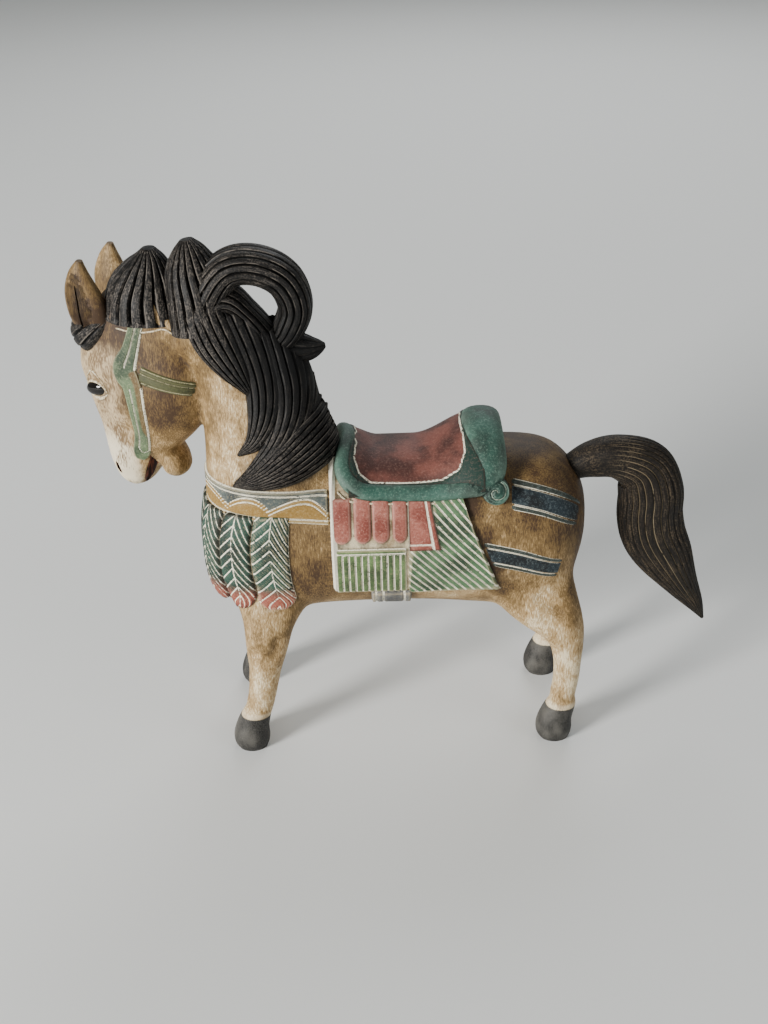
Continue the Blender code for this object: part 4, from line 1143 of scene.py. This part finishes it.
scroll_paint = painted("scroll_green", "0b241e", "275044", worn="8fa897", line_share=0.07,
                       line="9fb5a4")
for side in (1, -1):
    bm = bmesh.new()
    bmesh.ops.create_cone(bm, cap_ends=True, segments=48, radius1=SCROLL_SIZE,
                          radius2=0.8 * SCROLL_SIZE, depth=2.4)
    cap = max(bm.faces, key=lambda face: face.calc_center_median().z)
    for _ in range(11):
        bmesh.ops.inset_region(bm, faces=[cap], thickness=0.085, depth=0.0)
    marks = {}
    for vert in bm.verts:
        if vert.co.z > 1.1:
            far = math.hypot(vert.co.x, vert.co.y) / (0.8 * SCROLL_SIZE)
            turn = far * SCROLL_TURNS - side * math.atan2(vert.co.y, vert.co.x) / (2 * math.pi)
            height = beside(turn, 0.22)
            vert.co.z += 0.35 * (1 - far ** 2) - 0.14 * (1 - height)
            marks[vert] = (turn, FAR, height, 0.0)
    mark(bm, marks, spiral=True)
    lean = Vector((0, 0, 1)).rotation_difference(Vector((0.0, -side, 0.35)))
    bmesh.ops.rotate(bm, verts=bm.verts, matrix=lean.to_matrix())
    point, _ = on_barrel(SCROLL[0], side * SCROLL[1])
    bmesh.ops.translate(bm, verts=bm.verts, vec=Vector(point) + Vector((0.0, 0.2 * side, 0.0)))
    carvings.append(as_object("scroll", bm, scroll_paint))


# Breast collar and feathers
# A low band round the chest, blue-grey above a scalloped ochre edge with cream lines, and seven
# round-tipped feathers that hang from it, cut with a midrib and slanting barbs. Their green
# turns red at the tips. Places are degrees round the chest from its middle, and z.
CHEST_AXIS_X = -6.0
CHEST_REACH = 11.1
COLLAR_HALF_TURN = 93.5
COLLAR_PROUD = 0.20
COLLAR_LOW = 24.1
COLLAR_HIGH = 26.75
COLLAR_FALL = 0.6
CUSPS = (-92.0, -49.0, -27.0, 0.0, 27.0, 49.0, 92.0)
FEATHER_EDGES = (-62.0, -41.0, -26.0, -9.0, 9.0, 26.0, 41.0, 62.0)
FEATHER_GAP = 0.3
FEATHER_FALL = (24.3, 15.3)
FEATHER_PROUD = 0.45
BARBS = 9.5


def on_chest(turn, z):
    angle = math.radians(turn)
    return cast((CHEST_AXIS_X, 0.0, z), (-math.cos(angle), -math.sin(angle), 0.0), CHEST_REACH)


def scallop(turn):
    """Height of the ochre edge's arcs over the collar's lower rim."""
    for start, end in zip(CUSPS, CUSPS[1:]):
        if start <= turn <= end:
            return 0.95 + 1.0 * math.sin(math.pi * (turn - start) / (end - start)) ** 0.8
    return 0.95


def collar_place(u, v):
    turn = COLLAR_HALF_TURN * (2 * u - 1)
    low = COLLAR_LOW - COLLAR_FALL * abs(turn) / 90
    return on_chest(turn, low + (COLLAR_HIGH - COLLAR_LOW) * v)


def collar_face(u, v, rim):
    z = (COLLAR_HIGH - COLLAR_LOW) * v
    arc = scallop(COLLAR_HALF_TURN * (2 * u - 1))
    away = to_line(z, (0.04, 0.36, arc, arc - 0.36, 2.2, 2.6))
    cut = cut_at(away)
    lift = COLLAR_PROUD * rounded(rim, 0.12) - 0.09 * cut
    return lift, UNLINED, away, 1 - cut, 0.5 + 0.5 * (arc - z)


collar_paint = painted("collar_blue_and_ochre", "2a3234", "535c59", rim=0.08,
                       tip=("8c6c30", 0.53, 0.57), worn="c2b48e", speckle=0.35)
sheet("collar", collar_paint, collar_place, collar_face, 130, 30)

feather_paint = painted("feather_green", "082620", "24493d", rim=0.05, line_share=0.1,
                        tip=("8f4a3b", 0.76, 0.95), speckle=0.25)
for first, last in zip(FEATHER_EDGES, FEATHER_EDGES[1:]):
    middle = (first + last) / 2
    half = (last - first - FEATHER_GAP) / 2
    away = 1 if middle > 0 else -1

    def feather_place(u, v, middle=middle, half=half):
        tip = max(0.0, (v - 0.86) / 0.14)
        reach = half * math.sqrt(max(1 - 0.92 * tip ** 2, 0.05))
        z = FEATHER_FALL[0] + v * (FEATHER_FALL[1] - FEATHER_FALL[0])
        return on_chest(middle + reach * (2 * u - 1), z)

    def feather_face(u, v, rim, away=away, wide=last - first):
        aside = (2 * u - 1) * away - (0.16 * v - 0.1)
        lines = v * BARBS - (2.7 if aside > 0 else 1.7) * abs(aside)
        height = beside(lines)
        swell = FEATHER_PROUD * (1 - 0.4 * (2 * u - 1) ** 2)
        lift = swell * rounded(rim, 0.3) - 0.1 * (1 - height) * (rim > 0.1)
        return lift, lines, min(rim + 0.02, abs(aside) * wide * 0.075), height, v

    fine = 1.0 if middle > 0 else 0.6
    sheet("feather", feather_paint, feather_place, feather_face, round(24 * fine),
          round(64 * fine))


# Bands on the rump, and the girth's buckle
# Two dark blue bands on each thigh between cream cut lines, barely proud of the coat, and a
# small grey buckle carved below the cloth's hem on each side.
RUMP_BANDS = (
    ((9.3, 33.0, 9.2, 56.0), (12.2, 38.5, 11.9, 62.0), (15.2, 43.0, 14.7, 73.0)),
    ((6.85, 79.0, 7.8, 103.0), (10.3, 88.0, 10.4, 110.0), (13.6, 102.0, 13.1, 119.5)),
)
BUCKLE = (-2.45, 0.95, 126.0, 142.0)

band_paint = painted("band_blue", "090f13", "1d2a31", worn="7f8b8b", rim=0.09,
                     tip=("2c322b", 0.5, 0.56))
buckle_paint = painted("buckle_grey", "45474a", "7c7d7a", rim=0.1, speckle=0.4)
for side in (1, -1):
    for stations in RUMP_BANDS:
        rows = smooth_rows(stations, 21)

        def band_place(u, v, rows=rows, side=side):
            x0, turn0, x1, turn1 = rows[round(v * 20)]
            return on_barrel(x0 + u * (x1 - x0), side * (turn0 + u * (turn1 - turn0)))

        def band_face(u, v, rim):
            away = to_line(u, (0.03, 0.23, 0.80, 0.97), 2.7)
            cut = cut_at(away, 0.1)
            lift = 0.05 * rounded(rim, 0.06) - 0.07 * cut
            return lift, UNLINED, away, 1 - cut, float(u < 0.23 or u > 0.8)

        sheet("rump_band", band_paint, band_place, band_face, 34, 20)

    def buckle_face(u, v, rim):
        away = to_line(u, (0.12, 0.3, 0.82), 3.4)
        return 0.35 * rounded(rim, 0.2) - 0.08 * (away < 0.1), UNLINED, away, 1.0, v

    sheet("buckle", buckle_paint, patch(BUCKLE[:2], BUCKLE[2:], side), buckle_face, 34, 16)


# The finished carving
# All of the above is one piece of wood, so it is joined and cut in one skin, set on the
# pattern's place in the model, and its sharp arrises are kept.
def joined(item, tools, operation):
    shelf = bpy.data.collections.new(operation)
    bpy.context.scene.collection.children.link(shelf)
    for tool in tools:
        bpy.context.scene.collection.objects.unlink(tool)
        shelf.objects.link(tool)
    boolean = item.modifiers.new(operation, "BOOLEAN")
    boolean.operation = operation
    boolean.solver = "MANIFOLD"
    boolean.material_mode = "TRANSFER"
    boolean.operand_type = "COLLECTION"
    boolean.collection = shelf
    applied(item)
    for tool in tools:
        bpy.data.objects.remove(tool, do_unlink=True)
    bpy.data.collections.remove(shelf)


soles = [vert.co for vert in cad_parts["horse"].data.vertices if vert.co.z < 0.0005]
sole_x = (min(co.x for co in soles) + max(co.x for co in soles)) / 2
sole_y = (min(co.y for co in soles) + max(co.y for co in soles)) / 2
TO_MODEL = (Matrix.Translation((sole_x, sole_y, 0.0)) @ Matrix.Scale(SQUARE, 4)
            @ Matrix.Translation((0.0, 0.0, -SOLE_LINE)))


def placed(item, sharp):
    """Bring a piece from the pattern to the model, and keep its arrises crisp."""
    bm = bmesh.new()
    bm.from_mesh(item.data)
    bmesh.ops.transform(bm, matrix=TO_MODEL, verts=bm.verts)
    bmesh.ops.dissolve_degenerate(bm, edges=bm.edges, dist=0.00002)
    for face in bm.faces:
        face.smooth = True
    for edge in bm.edges:
        edge.smooth = edge.calc_face_angle(0.0) < sharp
    bm.to_mesh(item.data)
    bm.free()


rump = horse.copy()
rump.data = horse.data.copy()
bpy.context.scene.collection.objects.link(rump)
joined(horse, carvings, "UNION")
joined(horse, cuts, "DIFFERENCE")
placed(horse, math.radians(48))
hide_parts("horse")
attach(horse, "root")

# Tail
# Carved apart from a darker block and set against the rump. A round root widens into a
# long wavy brush with fine pale lines cut along it.
TAIL = [
    (14.3, 0, 25.0, 0.9, 1.2), (16.5, 0, 25.85, 1.55, 1.5), (18.7, 0, 26.0, 1.9, 1.7),
    (20.9, 0, 24.9, 2.5, 1.8), (21.7, 0, 22.7, 2.8, 1.8), (21.8, 0, 20.4, 2.85, 1.7),
    (22.3, 0, 18.3, 2.8, 1.6), (23.5, 0, 16.0, 2.45, 1.4), (25.0, 0, 13.4, 1.6, 1.1),
    (26.5, 0, 11.0, 0.8, 0.7), (27.4, 0, 9.3, 0.15, 0.2),
]
TAIL_GAP = 0.04
tail_paint = hair_finish("dark_brown_tail", "060403", "0f0b08", "4d4233", "8f8067", 0.0, 0.12)
tail = swept("carved_tail", TAIL, 120, 140, power=2.2, strands=14, depth=0.09, finish=tail_paint,
             plain=0.3)
swell = rump.modifiers.new("Joint", "DISPLACE")
swell.mid_level = 0.0
swell.strength = TAIL_GAP
applied(rump)
rump.data.materials.clear()
joined(tail, [rump], "DIFFERENCE")
placed(tail, math.radians(60))
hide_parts("tail")
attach(tail, "root")

low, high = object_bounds()
